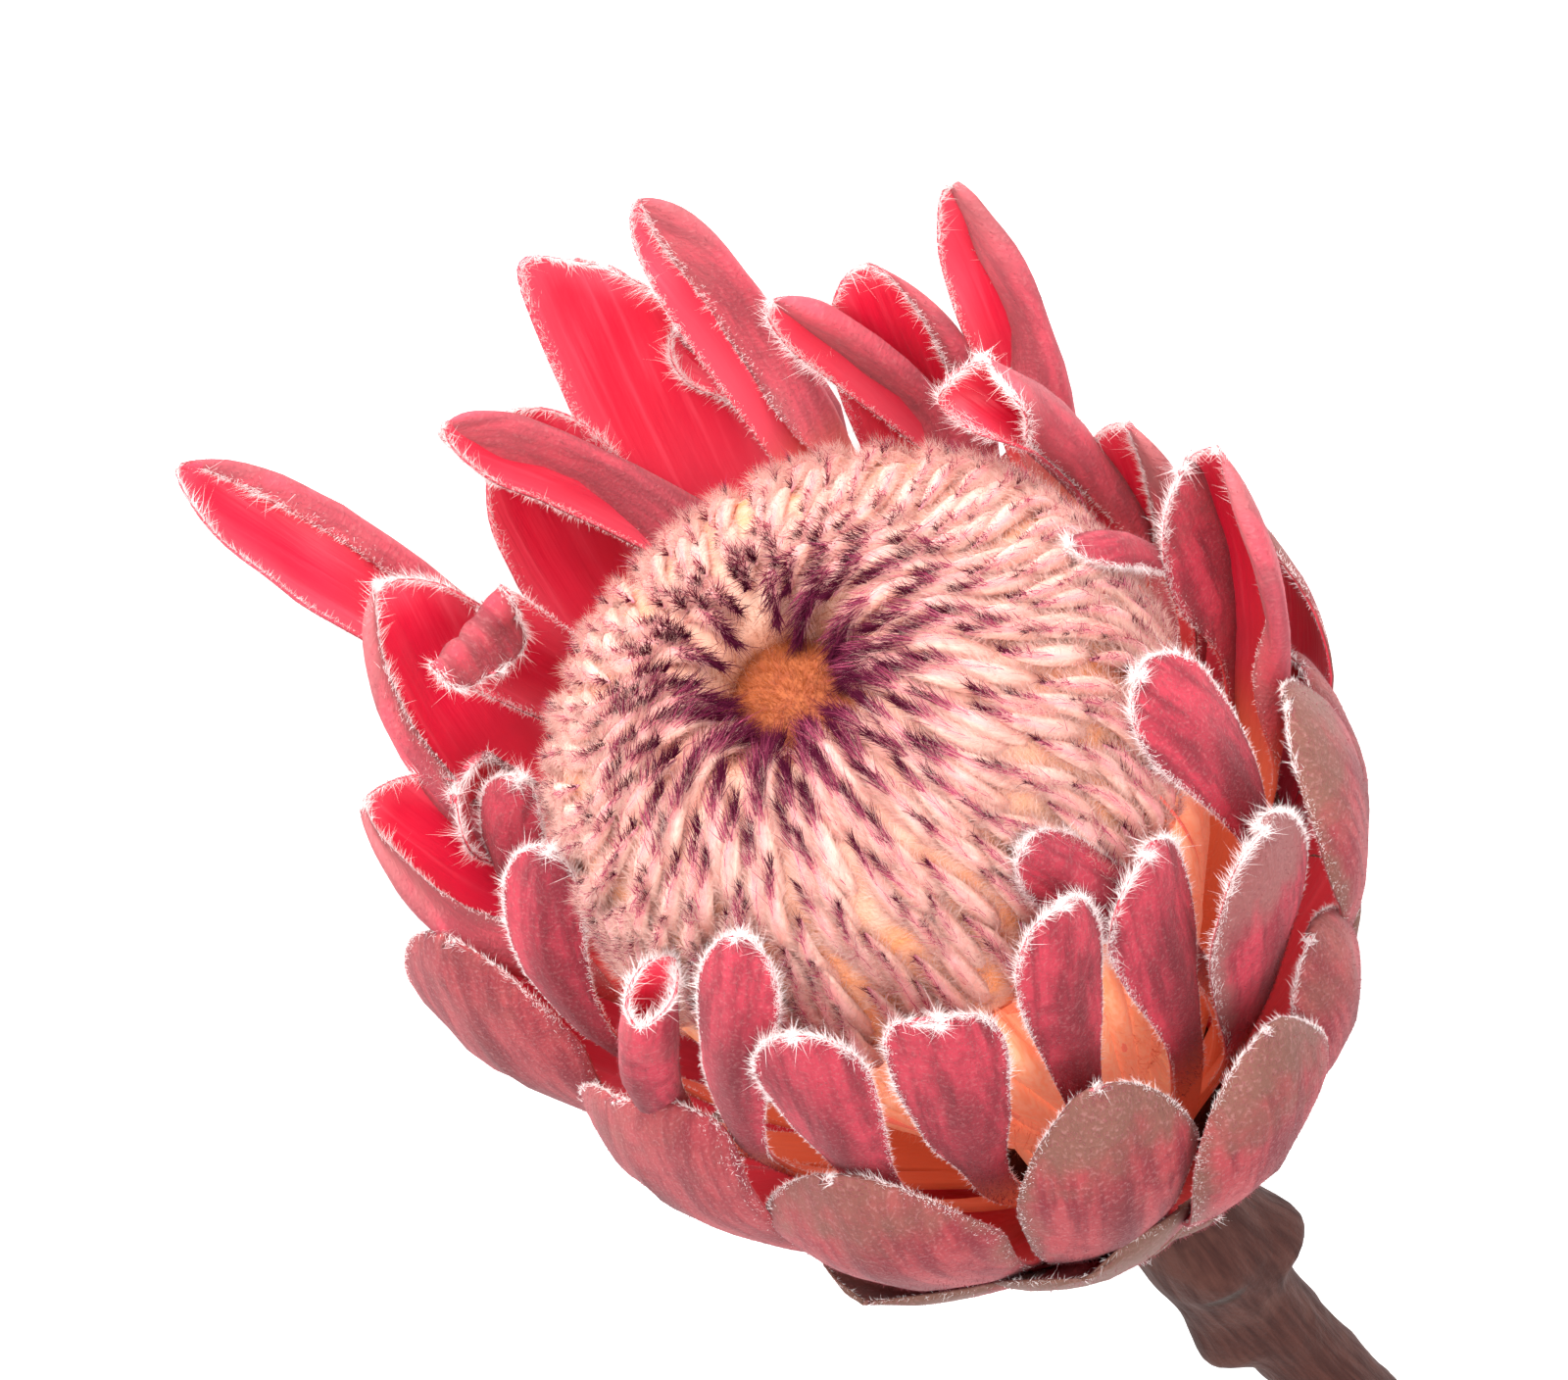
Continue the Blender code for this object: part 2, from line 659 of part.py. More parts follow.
def add_stem(shape):
    controls = stem_controls()
    side = Vector((0, -1, 0))
    rings = []
    distance = 0.0
    before = controls[0]
    for k in range(STEM_RINGS + 1):
        t = (k / STEM_RINGS) ** 1.25
        centre = bezier(controls, t)
        distance += (centre - before).length
        before = centre
        along = bezier_tangent(controls, t)
        across = (side - along * side.dot(along)).normalized()
        up = across.cross(along)
        up = up if up.z > 0 else -up
        ring = []
        for n in range(STEM_SIDES):
            azimuth = 2 * math.pi * n / STEM_SIDES
            radius = stem_radius(distance, azimuth)
            spoke = up * math.cos(azimuth) + across * math.sin(azimuth)
            ring.append(shape.verts.new((centre + spoke * radius) * MM))
        rings.append(ring)
    made = [shape.faces.new(rings[0])]
    for low, high in zip(rings, rings[1:]):
        for n in range(STEM_SIDES):
            m = (n + 1) % STEM_SIDES
            made.append(shape.faces.new((low[n], low[m], high[m], high[n])))
    heading = bezier_tangent(controls, 1.0)
    rim = [v.co for v in rings[-1]]
    middle = sum(rim, Vector()) / STEM_SIDES
    pith = [shape.verts.new(middle + (p - middle) * 0.3 - heading * PITH_DEPTH * MM) for p in rim]
    for n in range(STEM_SIDES):
        m = (n + 1) % STEM_SIDES
        made.append(shape.faces.new((rings[-1][n], rings[-1][m], pith[m], pith[n])))
    made.append(shape.faces.new(pith))
    bmesh.ops.recalc_face_normals(shape, faces=made)


# The whole flower

FLOOR_SLAB = (400.0, 200.0, 20.0)


def build_floor_cutter(parent):
    """A slab under Z = 0. What dips into it is pressed flat, as the flower's own weight does."""
    slab = new_object(
        "floor_cutter", lambda s: bmesh.ops.create_cube(s, size=1.0), parent
    )
    slab.data.transform(Matrix.Diagonal((*(MM * side for side in FLOOR_SLAB), 1.0)))
    slab.location = (0, 0, -0.5 * FLOOR_SLAB[2] * MM)
    slab.hide_render = True
    slab.display_type = "WIRE"
    return slab


def centre_over_origin(parent, nodes):
    """Moves the whole flower so that the origin lies under the middle of its bounds."""
    bpy.context.view_layer.update()
    corners = [o.matrix_world @ v.co for o in nodes for v in o.data.vertices]
    for axis in (0, 1):
        values = [c[axis] for c in corners]
        parent.location[axis] -= 0.5 * (min(values) + max(values))


def main():
    for obj in list(bpy.data.objects):
        bpy.data.objects.remove(obj)
    scene = bpy.context.scene.collection
    flower = bpy.data.objects.new("protea", None)
    head = bpy.data.objects.new("head_frame", None)
    scene.objects.link(flower)
    scene.objects.link(head)
    head.parent = flower
    head.location = (0, 0, HEAD_BASE_HEIGHT * MM)
    # The head's Z axis becomes the flower's facing direction, and its X axis faces up
    facing = Vector((math.cos(HEAD_TILT), 0, math.sin(HEAD_TILT)))
    upper = Vector((-math.sin(HEAD_TILT), 0, math.cos(HEAD_TILT)))
    turn = Matrix((upper, facing.cross(upper), facing)).transposed()
    head.rotation_euler = turn.to_euler()
    bpy.context.view_layer.update()

    rose = new_material("bract_rose", (0.52, 0.16, 0.18), 0.75)
    crimson = new_material("bract_crimson", (0.72, 0.06, 0.12), 0.6)
    orange = new_material("tube_orange", (0.86, 0.36, 0.14), 0.6)
    cream = new_material("plume_cream", (0.88, 0.66, 0.56), 0.9)
    bark = new_material("stem_bark", (0.23, 0.10, 0.07), 0.8)

    nodes = [
        build_outer_bracts(head, rose),
        build_inner_bracts("inner_bracts", head, crimson),
        build_floret_tubes(head, orange),
        build_floret_plumes(head, cream),
        new_object("stem", add_stem, flower, bark),
    ]
    floor = build_floor_cutter(flower)
    cut(nodes[0], floor)
    cut(nodes[4], floor)
    for node, angle in zip(nodes, (45, 45, 60, 60, 50)):
        drop_loose_shells(node)
        shade(node, angle)
    centre_over_origin(flower, nodes)


main()
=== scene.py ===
import math
import random
from collections import namedtuple

import bpy
import numpy as np
from mathutils import Matrix, Vector, noise


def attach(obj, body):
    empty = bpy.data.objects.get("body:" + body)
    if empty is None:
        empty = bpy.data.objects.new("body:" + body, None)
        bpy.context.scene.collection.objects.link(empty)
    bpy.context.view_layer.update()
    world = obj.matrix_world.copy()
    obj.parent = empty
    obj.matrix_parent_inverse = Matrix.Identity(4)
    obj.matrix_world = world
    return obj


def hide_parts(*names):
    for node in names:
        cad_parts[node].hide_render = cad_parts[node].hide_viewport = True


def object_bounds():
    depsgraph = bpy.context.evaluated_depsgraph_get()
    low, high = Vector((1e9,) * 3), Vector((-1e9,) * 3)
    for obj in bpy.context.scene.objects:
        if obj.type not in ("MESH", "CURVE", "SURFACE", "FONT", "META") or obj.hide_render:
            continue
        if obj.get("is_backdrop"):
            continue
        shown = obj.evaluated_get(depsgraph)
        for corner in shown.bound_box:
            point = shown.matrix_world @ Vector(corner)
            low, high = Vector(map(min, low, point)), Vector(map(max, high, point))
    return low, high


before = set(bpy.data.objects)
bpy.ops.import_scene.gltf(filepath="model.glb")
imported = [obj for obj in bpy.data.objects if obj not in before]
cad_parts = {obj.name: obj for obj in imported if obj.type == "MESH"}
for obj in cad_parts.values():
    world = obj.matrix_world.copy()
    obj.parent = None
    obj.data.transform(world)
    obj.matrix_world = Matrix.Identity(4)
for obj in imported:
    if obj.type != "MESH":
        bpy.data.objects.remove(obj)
cad_low, cad_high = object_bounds()

# Stem
# The woody stem that carries the head: swollen just under it, with thin reddish-brown bark,
# the scars and stubs of the leaves that were stripped off, and a cut end with pale pith.

MM = 0.001
HEAD_TILT = math.radians(20.0)
HEAD_HEIGHT = np.array((0.0, 0.0, 18.8))
FLOWER_PLACE = np.array((2.989, -0.381, 0.0))
HEAD_BASE = FLOWER_PLACE + HEAD_HEIGHT
# The head's own X, Y and Z as they lie in the scene, Z being the way that the flower faces
HEAD_AXES = np.array((
    (-math.sin(HEAD_TILT), 0.0, math.cos(HEAD_TILT)),
    (0.0, -1.0, 0.0),
    (math.cos(HEAD_TILT), 0.0, math.sin(HEAD_TILT)),
))

STEM_TOP_HEIGHT = 10.7
STEM_STRAIGHT_RUN = 44.0
STEM_LENGTH_BEYOND_BEND = 50.0
STEM_END = np.array((-118.0, -18.0, 3.95))
STEM_END_HEADING = math.radians(11.0)
STEM_RADIUS = 4.1
KNOB_RADIUS = 6.0
STEM_SIDES = 56
STEM_RINGS = 230
# Distance down the stem, azimuth round it, height of the bump, its length and its width
LEAF_STUBS = (
    (8.0, -15.0, 1.0, 5.0, 60.0),
    (12.5, 72.0, 2.6, 5.0, 70.0),
    (21.0, -80.0, 2.8, 6.0, 70.0),
    (38.0, 10.0, 1.8, 4.5, 50.0),
    (56.0, -75.0, 1.4, 4.0, 45.0),
    (74.0, 70.0, 1.4, 4.0, 45.0),
    (92.0, -20.0, 1.3, 4.0, 45.0),
    (110.0, 110.0, 1.3, 4.0, 45.0),
)


def unit(vectors):
    return vectors / np.maximum(np.linalg.norm(vectors, axis=-1, keepdims=True), 1e-9)


def even_angles(count):
    return 2 * math.pi * np.arange(count) / count


def bezier(points, t):
    """Points on a cubic curve through the first and last of four control points."""
    t = np.asarray(t, float)[..., None]
    s = 1.0 - t
    a, b, c, d = points
    return s ** 3 * a + 3 * s * s * t * b + 3 * s * t * t * c + t ** 3 * d


def bezier_way(points, t):
    t = np.asarray(t, float)[..., None]
    s = 1.0 - t
    a, b, c, d = points
    return unit(s * s * (b - a) + 2 * s * t * (c - b) + t * t * (d - c))


def way_along(points):
    """How far each of some points in a row lies from the first, along them."""
    return np.concatenate(([0.0], np.cumsum(np.linalg.norm(np.diff(points, axis=0), axis=1))))


def lumps(points, size, seed):
    """Soft random values between about -1 and 1 at points in millimetres."""
    return np.array([noise.noise(Vector(p) / size + Vector((seed, 0, 0))) for p in points])


def tube_faces(rings, sides):
    """Quads round rings of points that follow each other, each closed on itself."""
    k = np.arange(sides)
    one = np.stack((k, (k + 1) % sides, (k + 1) % sides + sides, k + sides), axis=1)
    return (one[None] + sides * np.arange(rings - 1)[:, None, None]).reshape(-1, 4)


def make_piece(name, points, faces, material, marks=None, lone=()):
    """A smooth piece from points in millimetres. marks are named values that its material reads."""
    points = np.asarray(points, float).copy()
    points[:, 2] = np.maximum(points[:, 2], 0.02)
    mesh = bpy.data.meshes.new(name)
    mesh.from_pydata((points * MM).tolist(), [], [list(f) for f in np.asarray(faces).tolist()] + list(lone))
    for mark, values in (marks or {}).items():
        values = np.asarray(values, np.float32)
        kind, field = ("FLOAT_VECTOR", "vector") if values.ndim == 2 else ("FLOAT", "value")
        mesh.attributes.new(mark, kind, "POINT").data.foreach_set(field, values.ravel())
    mesh.shade_smooth()
    mesh.materials.append(material)
    piece = bpy.data.objects.new(name, mesh)
    bpy.context.scene.collection.objects.link(piece)
    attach(piece, "root")
    return piece


class Wiring:
    """Places and joins the nodes of one material or shader group."""

    def __init__(self, tree):
        self.tree = tree

    def node(self, kind, settings=None, **inputs):
        made = self.tree.nodes.new("ShaderNode" + kind)
        for setting, value in (settings or {}).items():
            setattr(made, setting, value)
        for socket, value in inputs.items():
            self.feed(made.inputs[socket.replace("_", " ")], value)
        return made

    def feed(self, socket, value):
        if isinstance(value, bpy.types.NodeSocket):
            self.tree.links.new(value, socket)
        elif isinstance(value, (tuple, list)) and len(value) == 3 and socket.type == "RGBA":
            socket.default_value = (*value, 1.0)
        else:
            socket.default_value = value

    def mark(self, name):
        return self.node("Attribute", {"attribute_name": name})

    def math(self, operation, a, b=0.0, c=0.0, clamp=False):
        made = self.node("Math", {"operation": operation, "use_clamp": clamp})
        for socket, value in zip(made.inputs, (a, b, c)):
            self.feed(socket, value)
        return made.outputs[0]

    def between(self, value, low, high, to_low=0.0, to_high=1.0):
        made = self.node("MapRange", {"interpolation_type": "SMOOTHSTEP"}, Value=value)
        for index, number in enumerate((low, high, to_low, to_high), start=1):
            made.inputs[index].default_value = number
        return made.outputs[0]

    def blend(self, share, first, second, how="MIX"):
        made = self.node("Mix", {"data_type": "RGBA", "blend_type": how})
        self.feed(made.inputs[0], share)
        self.feed(made.inputs[6], first)
        self.feed(made.inputs[7], second)
        return made.outputs[2]

    def cloud(self, place, scale, detail=3.0, roughness=0.55):
        made = self.node("TexNoise", Vector=place, Scale=scale, Detail=detail, Roughness=roughness)
        return made.outputs["Fac"]

    def stretch(self, place, amounts):
        made = self.node("VectorMath", {"operation": "MULTIPLY"})
        self.feed(made.inputs[0], place)
        made.inputs[1].default_value = amounts
        return made.outputs[0]

    def bump(self, height, strength, distance):
        return self.node("Bump", Height=height, Strength=strength, Distance=distance).outputs[0]


def new_material(name):
    """A material with its Principled shader wired to the output, and the wiring for the rest."""
    material = bpy.data.materials.new(name)
    material.use_nodes = True
    wiring = Wiring(material.node_tree)
    return material, wiring, material.node_tree.nodes["Principled BSDF"]


def stem_radius(distance, azimuth):
    knob = np.exp(-(((distance - 7.0) / 9.0) ** 2))
    radius = STEM_RADIUS + (KNOB_RADIUS - STEM_RADIUS) * knob
    for place, around, height, length, width in LEAF_STUBS:
        away = (np.degrees(azimuth) - around + 180.0) % 360.0 - 180.0
        step = distance - place
        share = step / np.where(step < 0, length, 0.45 * length)
        radius = radius + height * np.exp(-(share ** 2) - (away / (0.5 * width)) ** 2)
    return radius


def leaf_scars(distance, azimuth):
    """1 on the round scar behind each stub, where the leaf broke away."""
    scar = np.zeros_like(distance)
    for place, around, height, length, width in LEAF_STUBS:
        away = ((np.degrees(azimuth) - around + 180.0) % 360.0 - 180.0) * 0.075
        spread = np.hypot((distance - place - 1.6) / 1.5, away / 1.7)
        scar = np.maximum(scar, 1.0 - np.clip(spread - 0.55, 0, 1) / 0.6)
    return np.clip(scar, 0, 1)


stem_down = -HEAD_AXES[2]
stem_start = HEAD_HEIGHT - stem_down * STEM_TOP_HEIGHT
stem_heading = np.array((-math.cos(STEM_END_HEADING), -math.sin(STEM_END_HEADING), 0.0))
stem_curve = (
    stem_start,
    stem_start + stem_down * STEM_STRAIGHT_RUN,
    STEM_END - stem_heading * STEM_LENGTH_BEYOND_BEND,
    STEM_END,
)
steps = np.linspace(0.0, 1.0, STEM_RINGS) ** 1.12
stem_middle = bezier(stem_curve, steps)
stem_way = bezier_way(stem_curve, steps)
stem_run = way_along(stem_middle)
across = unit(HEAD_AXES[1] - stem_way * (stem_way @ HEAD_AXES[1])[:, None])
upper = np.cross(across, stem_way)
upper *= np.sign(upper[:, 2:3])
around = even_angles(STEM_SIDES)
distance = np.repeat(stem_run[:, None], STEM_SIDES, axis=1)
azimuth = np.repeat(around[None], STEM_RINGS, axis=0)
radius = stem_radius(distance, azimuth)
scar = leaf_scars(distance, azimuth)
spokes = upper[:, None] * np.cos(azimuth)[..., None] + across[:, None] * np.sin(azimuth)[..., None]
wrinkled = np.stack((3.0 * np.cos(azimuth), 3.0 * np.sin(azimuth), 0.22 * distance), axis=-1)
wrinkles = lumps(wrinkled.reshape(-1, 3), 0.55, 3.0).reshape(radius.shape)
swells = lumps((spokes * radius[..., None] + stem_middle[:, None]).reshape(-1, 3), 5.0, 9.0)
swells = swells.reshape(radius.shape)
dished = 0.35 * np.clip(scar - 0.5, 0, 1)
radius = radius + 0.16 * wrinkles * (1 - scar) + 0.22 * swells - dished
stem_points = (stem_middle[:, None] + spokes * radius[..., None]).reshape(-1, 3)
rim = stem_points[-STEM_SIDES:]
middle = rim.mean(axis=0)
end_rings = [middle + (rim - middle) * share - stem_heading * dip
             for share, dip in ((0.96, -0.05), (0.86, 0.05), (0.6, 0.1), (0.3, 0.35), (0.12, 0.5))]
stem_points = np.concatenate([stem_points] + end_rings) + FLOWER_PLACE
stem_faces = tube_faces(STEM_RINGS + len(end_rings), STEM_SIDES)
last = len(stem_points) - STEM_SIDES
caps = [list(range(STEM_SIDES))[::-1], list(range(last, last + STEM_SIDES))]
on_end = np.concatenate((np.zeros(STEM_RINGS * STEM_SIDES),
                         np.repeat((0.25, 0.5, 0.75, 0.9, 1.0), STEM_SIDES)))
grain = np.stack((6 * np.cos(azimuth), 6 * np.sin(azimuth), distance), axis=-1).reshape(-1, 3)
grain = np.concatenate([grain] + end_rings)
scar = np.concatenate((scar.ravel(), np.zeros(len(end_rings) * STEM_SIDES)))

bark, wiring, shader = new_material("stem bark")
place = wiring.mark("grain").outputs["Vector"]
streaks = wiring.cloud(wiring.stretch(place, (1.1, 1.1, 0.12)), 1.0, 5.0, 0.65)
patches = wiring.cloud(place, 0.16, 3.0)
specks = wiring.cloud(wiring.stretch(place, (1.0, 1.0, 0.6)), 2.4, 2.0)
colour = wiring.blend(wiring.between(streaks, 0.3, 0.75), (0.030, 0.0075, 0.0055), (0.066, 0.018, 0.012))
colour = wiring.blend(wiring.between(patches, 0.5, 0.75, 0.0, 0.5), colour, (0.10, 0.036, 0.025))
colour = wiring.blend(wiring.between(specks, 0.66, 0.72, 0.0, 0.7), colour, (0.03, 0.011, 0.009))
colour = wiring.blend(wiring.between(wiring.mark("scar").outputs["Fac"], 0.3, 0.9), colour,
                      (0.035, 0.016, 0.012))
end = wiring.mark("on_end").outputs["Fac"]
colour = wiring.blend(wiring.between(end, 0.2, 0.5), colour, (0.62, 0.46, 0.30))
colour = wiring.blend(wiring.between(end, 0.8, 0.95), colour, (0.74, 0.62, 0.45))
wiring.feed(shader.inputs["Base Color"], colour)
wiring.feed(shader.inputs["Roughness"], wiring.between(streaks, 0.3, 0.7, 0.9, 0.7))
shader.inputs["Specular IOR Level"].default_value = 0.25
relief = wiring.math("MULTIPLY_ADD", specks, 0.4, streaks)
wiring.feed(shader.inputs["Normal"], wiring.bump(relief, 0.7, 0.0004))

stem = make_piece("stem_with_bark", stem_points, stem_faces, bark,
                  {"grain": grain, "scar": scar, "on_end": on_end}, lone=caps)
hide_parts("stem")

# Outer bracts
# Broad leathery scales that grow from the woody receptacle in overlapping rows and cup the
# flower. They are velvety dusty rose outside, greyer where they aged at the tip, red within.

Row = namedtuple("Row", "root_radius root_height rise claw widens thickness full", defaults=(0.82,))
# What one bract does in its own way: where across it each margin folds over and how far in
# degrees, how far the blade twists in degrees, how much one corner of the tip is higher, how
# square the tip is, how deep the notch in it is, how far a rolled one opens at its mouth, how
# far it hooks sideways, how much of its end curls in and how far, and how grey and worn it is,
# above 1 on its inner face too
Habit = namedtuple("Habit", "fold_left fold_right twist slant blunt notch mouth hook curl grey",
                   defaults=(None, None, 0.0, 0.0, 2.0, 0.0, 0.0, 0.0, (0.0, 0.0), 0.3))
Bract = namedtuple("Bract", "azimuth reach height width lean cup roll_left roll_right sway taper habit",
                   defaults=(Habit(),))

ROW_BASE = Row(4.5, 13.5, 50.0, 0.75, 0.3, 1.3)
ROW_LOW = Row(6.0, 17.0, 52.0, 0.7, 0.3, 1.3)
ROW_MIDDLE = Row(8.0, 19.5, 50.0, 0.6, 0.3, 1.3)
ROW_OUTER = Row(8.6, 22.5, 57.0, 0.5, 0.3, 1.2)

# Azimuth, tip radius, tip height, width, lean of the tip, cup, extra roll of the left and
# right edges, sideways sway of the tip, length of the tip's taper in widths, and habit
OUTER_BRACTS = (
    Bract(-105, 38, 73, 21, 115, 24, 0, 10, -11, 0.7, Habit(twist=-50, grey=0.35)),
    Bract(-79, 30.5, 69.5, 23, 116, 28, 20, 10, -3, 0.5, Habit(slant=0.4, blunt=3.5, twist=-10, grey=0.4)),
    Bract(-45, 28.8, 66, 22.5, 116, 34, 10, 10, 0, 0.6, Habit(grey=0.75)),
    Bract(-17, 29.3, 66.5, 17, 114, 36, 10, 10, 18, 0.7, Habit(grey=0.9)),
    Bract(9, 33, 60.5, 20, 106, 34, 10, 10, 15, 0.8, Habit(grey=0.9)),
    Bract(66, 32.5, 68, 22, 114, 36, 20, 10, 3, 0.7, Habit(grey=0.9)),
    Bract(104, 38.8, 66.8, 20, 98, 30, 10, 10, 0, 0.7, Habit(grey=0.7)),
    Bract(84, 34, 61, 18, 106, 34, 10, 10, 0, 0.7, Habit(grey=0.5)),
    Bract(42, 31, 57, 18, 106, 34, 10, 10, 0, 0.7, Habit(grey=0.6)),
    Bract(136, 42, 65, 20, 82, 30, 10, 10, 0, 0.8, Habit(grey=0.5)),
    Bract(164, 43.5, 61, 20, 70, 22, 5, 5, 0, 0.8, Habit(grey=0.5)),
    Bract(-164, 43.5, 61, 20, 70, 22, 5, 5, 0, 0.8, Habit(grey=0.5)),
    Bract(-127, 45, 64, 20, 83, 30, 10, 10, -4, 0.7, Habit(grey=0.3)),
)
RECEPTACLE_PROFILE = (
    (0.0, 11.0), (5.4, 11.0), (6.8, 14.5), (8.8, 18.5), (10.6, 22.5), (11.6, 26.0), (10.8, 27.5),
    (0.0, 27.5),
)
RECEPTACLE_SIDES = 48


def in_place(points):
    """Points in the head's own frame, in millimetres, as they lie in the scene."""
    return HEAD_BASE + np.asarray(points) @ HEAD_AXES


def smoothstep(low, high, value):
    share = np.clip((value - low) / (high - low), 0.0, 1.0)
    return share * share * (3.0 - 2.0 * share)


def bract_rib(row, bract, u):
    """Points and directions of a bract's midrib, at shares u of its length."""
    root = np.array((row.root_radius, row.root_height))
    tip = np.array((bract.reach, bract.height), float)
    span = np.linalg.norm(tip - root)
    rise, lean = math.radians(row.rise), math.radians(bract.lean)
    flat = bezier((
        root,
        root + 0.4 * span * np.array((math.cos(rise), math.sin(rise))),
        tip - 0.4 * span * np.array((math.cos(lean), math.sin(lean))),
        tip,
    ), u)
    curled, degrees = bract.habit.curl
    legs = np.diff(flat, axis=0)
    turn = math.radians(degrees) * smoothstep(-1.0, 1.0, (0.5 * (u[1:] + u[:-1]) - 1.0) * span + curled)
    legs = np.stack((legs[:, 0] * np.cos(turn) - legs[:, 1] * np.sin(turn),
                     legs[:, 0] * np.sin(turn) + legs[:, 1] * np.cos(turn)), axis=1)
    flat = np.concatenate((flat[:1], flat[:1] + np.cumsum(legs, axis=0)))
    azimuth = np.radians(bract.azimuth + bract.sway * u * u)
    around = np.stack((-np.sin(azimuth), np.cos(azimuth), np.zeros_like(u)), axis=1)
    rib = np.stack((flat[:, 0] * np.cos(azimuth), flat[:, 0] * np.sin(azimuth), flat[:, 1]), axis=1)
    hooked = smoothstep(0.8, 1.0, u)[:, None]
    along = unit(np.gradient(rib, u, axis=0))
    rib = rib + bract.habit.hook * hooked * around - 0.5 * abs(bract.habit.hook) * hooked ** 2 * along
    along = unit(np.gradient(rib, u, axis=0))
    across = unit(around - along * (around * along).sum(axis=1)[:, None])
    twist = math.radians(bract.habit.twist) * smoothstep(0.25, 0.8, u)[:, None]
    outward = np.cross(across, along)
    return (rib, along, across * np.cos(twist) + outward * np.sin(twist),
            outward * np.cos(twist) - across * np.sin(twist), span)


def fold_of(bract, side, t, folded):
    """Angle that a folded margin adds at shares t of the way from the rib to the edge."""
    fold = bract.habit.fold_left if side < 0 else bract.habit.fold_right
    if fold is None:
        return 0.0, 1.0
    start, degrees = fold
    turn = math.radians(degrees) * smoothstep(start - 0.1, start + 0.1, t) * folded[:, None]
    return turn, 1.0 + (1.0 / start - 1.0) * folded


Blade = namedtuple("Blade", "middle normal across along thickness u v sideways length seed")


def grow_blade(row, bract, seed, rows=34, columns=25):
    """The middle of one bract as a grid of points, root to tip and left edge to right edge."""
    span = math.hypot(bract.reach - row.root_radius, bract.height - row.root_height)
    habit = bract.habit
    tip_start = 1.0 - min(0.5, bract.taper * bract.width / span)
    tip_rows = rows * 2 // 5
    rounding = np.sin(0.5 * math.pi * np.linspace(0.0, 1.0, tip_rows))
    u = np.concatenate((np.linspace(0.0, tip_start, rows - tip_rows, endpoint=False),
                        tip_start + (1.0 - tip_start) * rounding))
    v = np.linspace(-1.0, 1.0, columns)
    rib, along, across, outward, span = bract_rib(row, bract, u)
    past = np.clip((u - tip_start) / (1.0 - tip_start), 0.0, 1.0)
    share = row.claw + (1.0 - row.claw) * smoothstep(row.widens, row.full, u)
    if habit.blunt < 20.0:
        share = share * np.maximum(0.0005, 1.0 - past ** habit.blunt) ** (1.0 / habit.blunt)
    half_width = 0.5 * bract.width * np.maximum(share, 0.04)
    from_axis = np.hypot(rib[:, 0], rib[:, 1])
    blade = smoothstep(0.35, 0.8, u)
    folded = smoothstep(0.42, 0.82, u)
    wrap = half_width / np.maximum(from_axis, half_width)
    cup = math.radians(bract.cup) * (1.0 - habit.mouth * smoothstep(0.86, 1.0, u))
    turn = (1.0 - blade) * wrap + blade * cup
    ragged = np.array([[noise.noise(Vector((3.5 * a, 2.0 * side + seed, 0.3 * seed)))
                        for a in u] for side in (-1, 1)])
    sideways = np.zeros((len(u), len(v)))
    inward = np.zeros_like(sideways)
    on_skin = np.zeros_like(sideways)
    for j, value in enumerate(v):
        side = -1 if value < 0 else 1
        roll = math.radians(bract.roll_left if value < 0 else bract.roll_right) * blade
        t = abs(value) * (np.arange(24) + 0.5) / 24
        fold, wider = fold_of(bract, side, t[None], folded)
        wide = half_width * wider * (1.0 + 0.07 * ragged[(side + 1) // 2] * abs(value))
        angle = turn[:, None] * t + roll[:, None] * t ** 4 + fold
        sideways[:, j] = side * np.cos(angle).mean(axis=1) * wide * abs(value)
        inward[:, j] = np.sin(angle).mean(axis=1) * wide * abs(value)
        on_skin[:, j] = wide * value
    near_tip = smoothstep(tip_start - 0.15, 1.0, u)[:, None]
    torn = np.array([noise.noise(Vector((3.0 * value, seed, 1.0))) for value in v])
    lengthwise = near_tip * (habit.slant * sideways + 0.5 * torn)
    lengthwise = lengthwise - near_tip * habit.notch * np.cos(0.5 * math.pi * v) ** 2
    middle = (rib[:, None] + across[:, None] * sideways[..., None]
              - outward[:, None] * inward[..., None] + along[:, None] * lengthwise[..., None])
    along = unit(np.gradient(middle, axis=0))
    across = unit(np.gradient(middle, axis=1))
    normal = unit(np.cross(across, along))
    waves = lumps(middle.reshape(-1, 3), 7.0, seed).reshape(sideways.shape)
    ripples = lumps((middle * (1, 1, 0.6)).reshape(-1, 3), 2.6, seed + 5.0).reshape(sideways.shape)
    free = smoothstep(0.3, 0.75, u)[:, None]
    rib_line = np.exp(-((v * half_width[:, None]) / 0.9) ** 2) * (1 - past[:, None])
    lift = free * (0.5 * waves + 0.16 * ripples) + 0.22 * rib_line * free
    middle = middle + normal * lift[..., None]
    edge = np.abs(v)[None]
    thickness = row.thickness * (1.05 - 0.5 * u[:, None]) * (1.0 - 0.62 * edge ** 3)
    thickness = thickness * (1.0 - 0.45 * past[:, None] ** 2)
    return Blade(middle, normal, across, along, thickness, u, v, on_skin, span, seed)


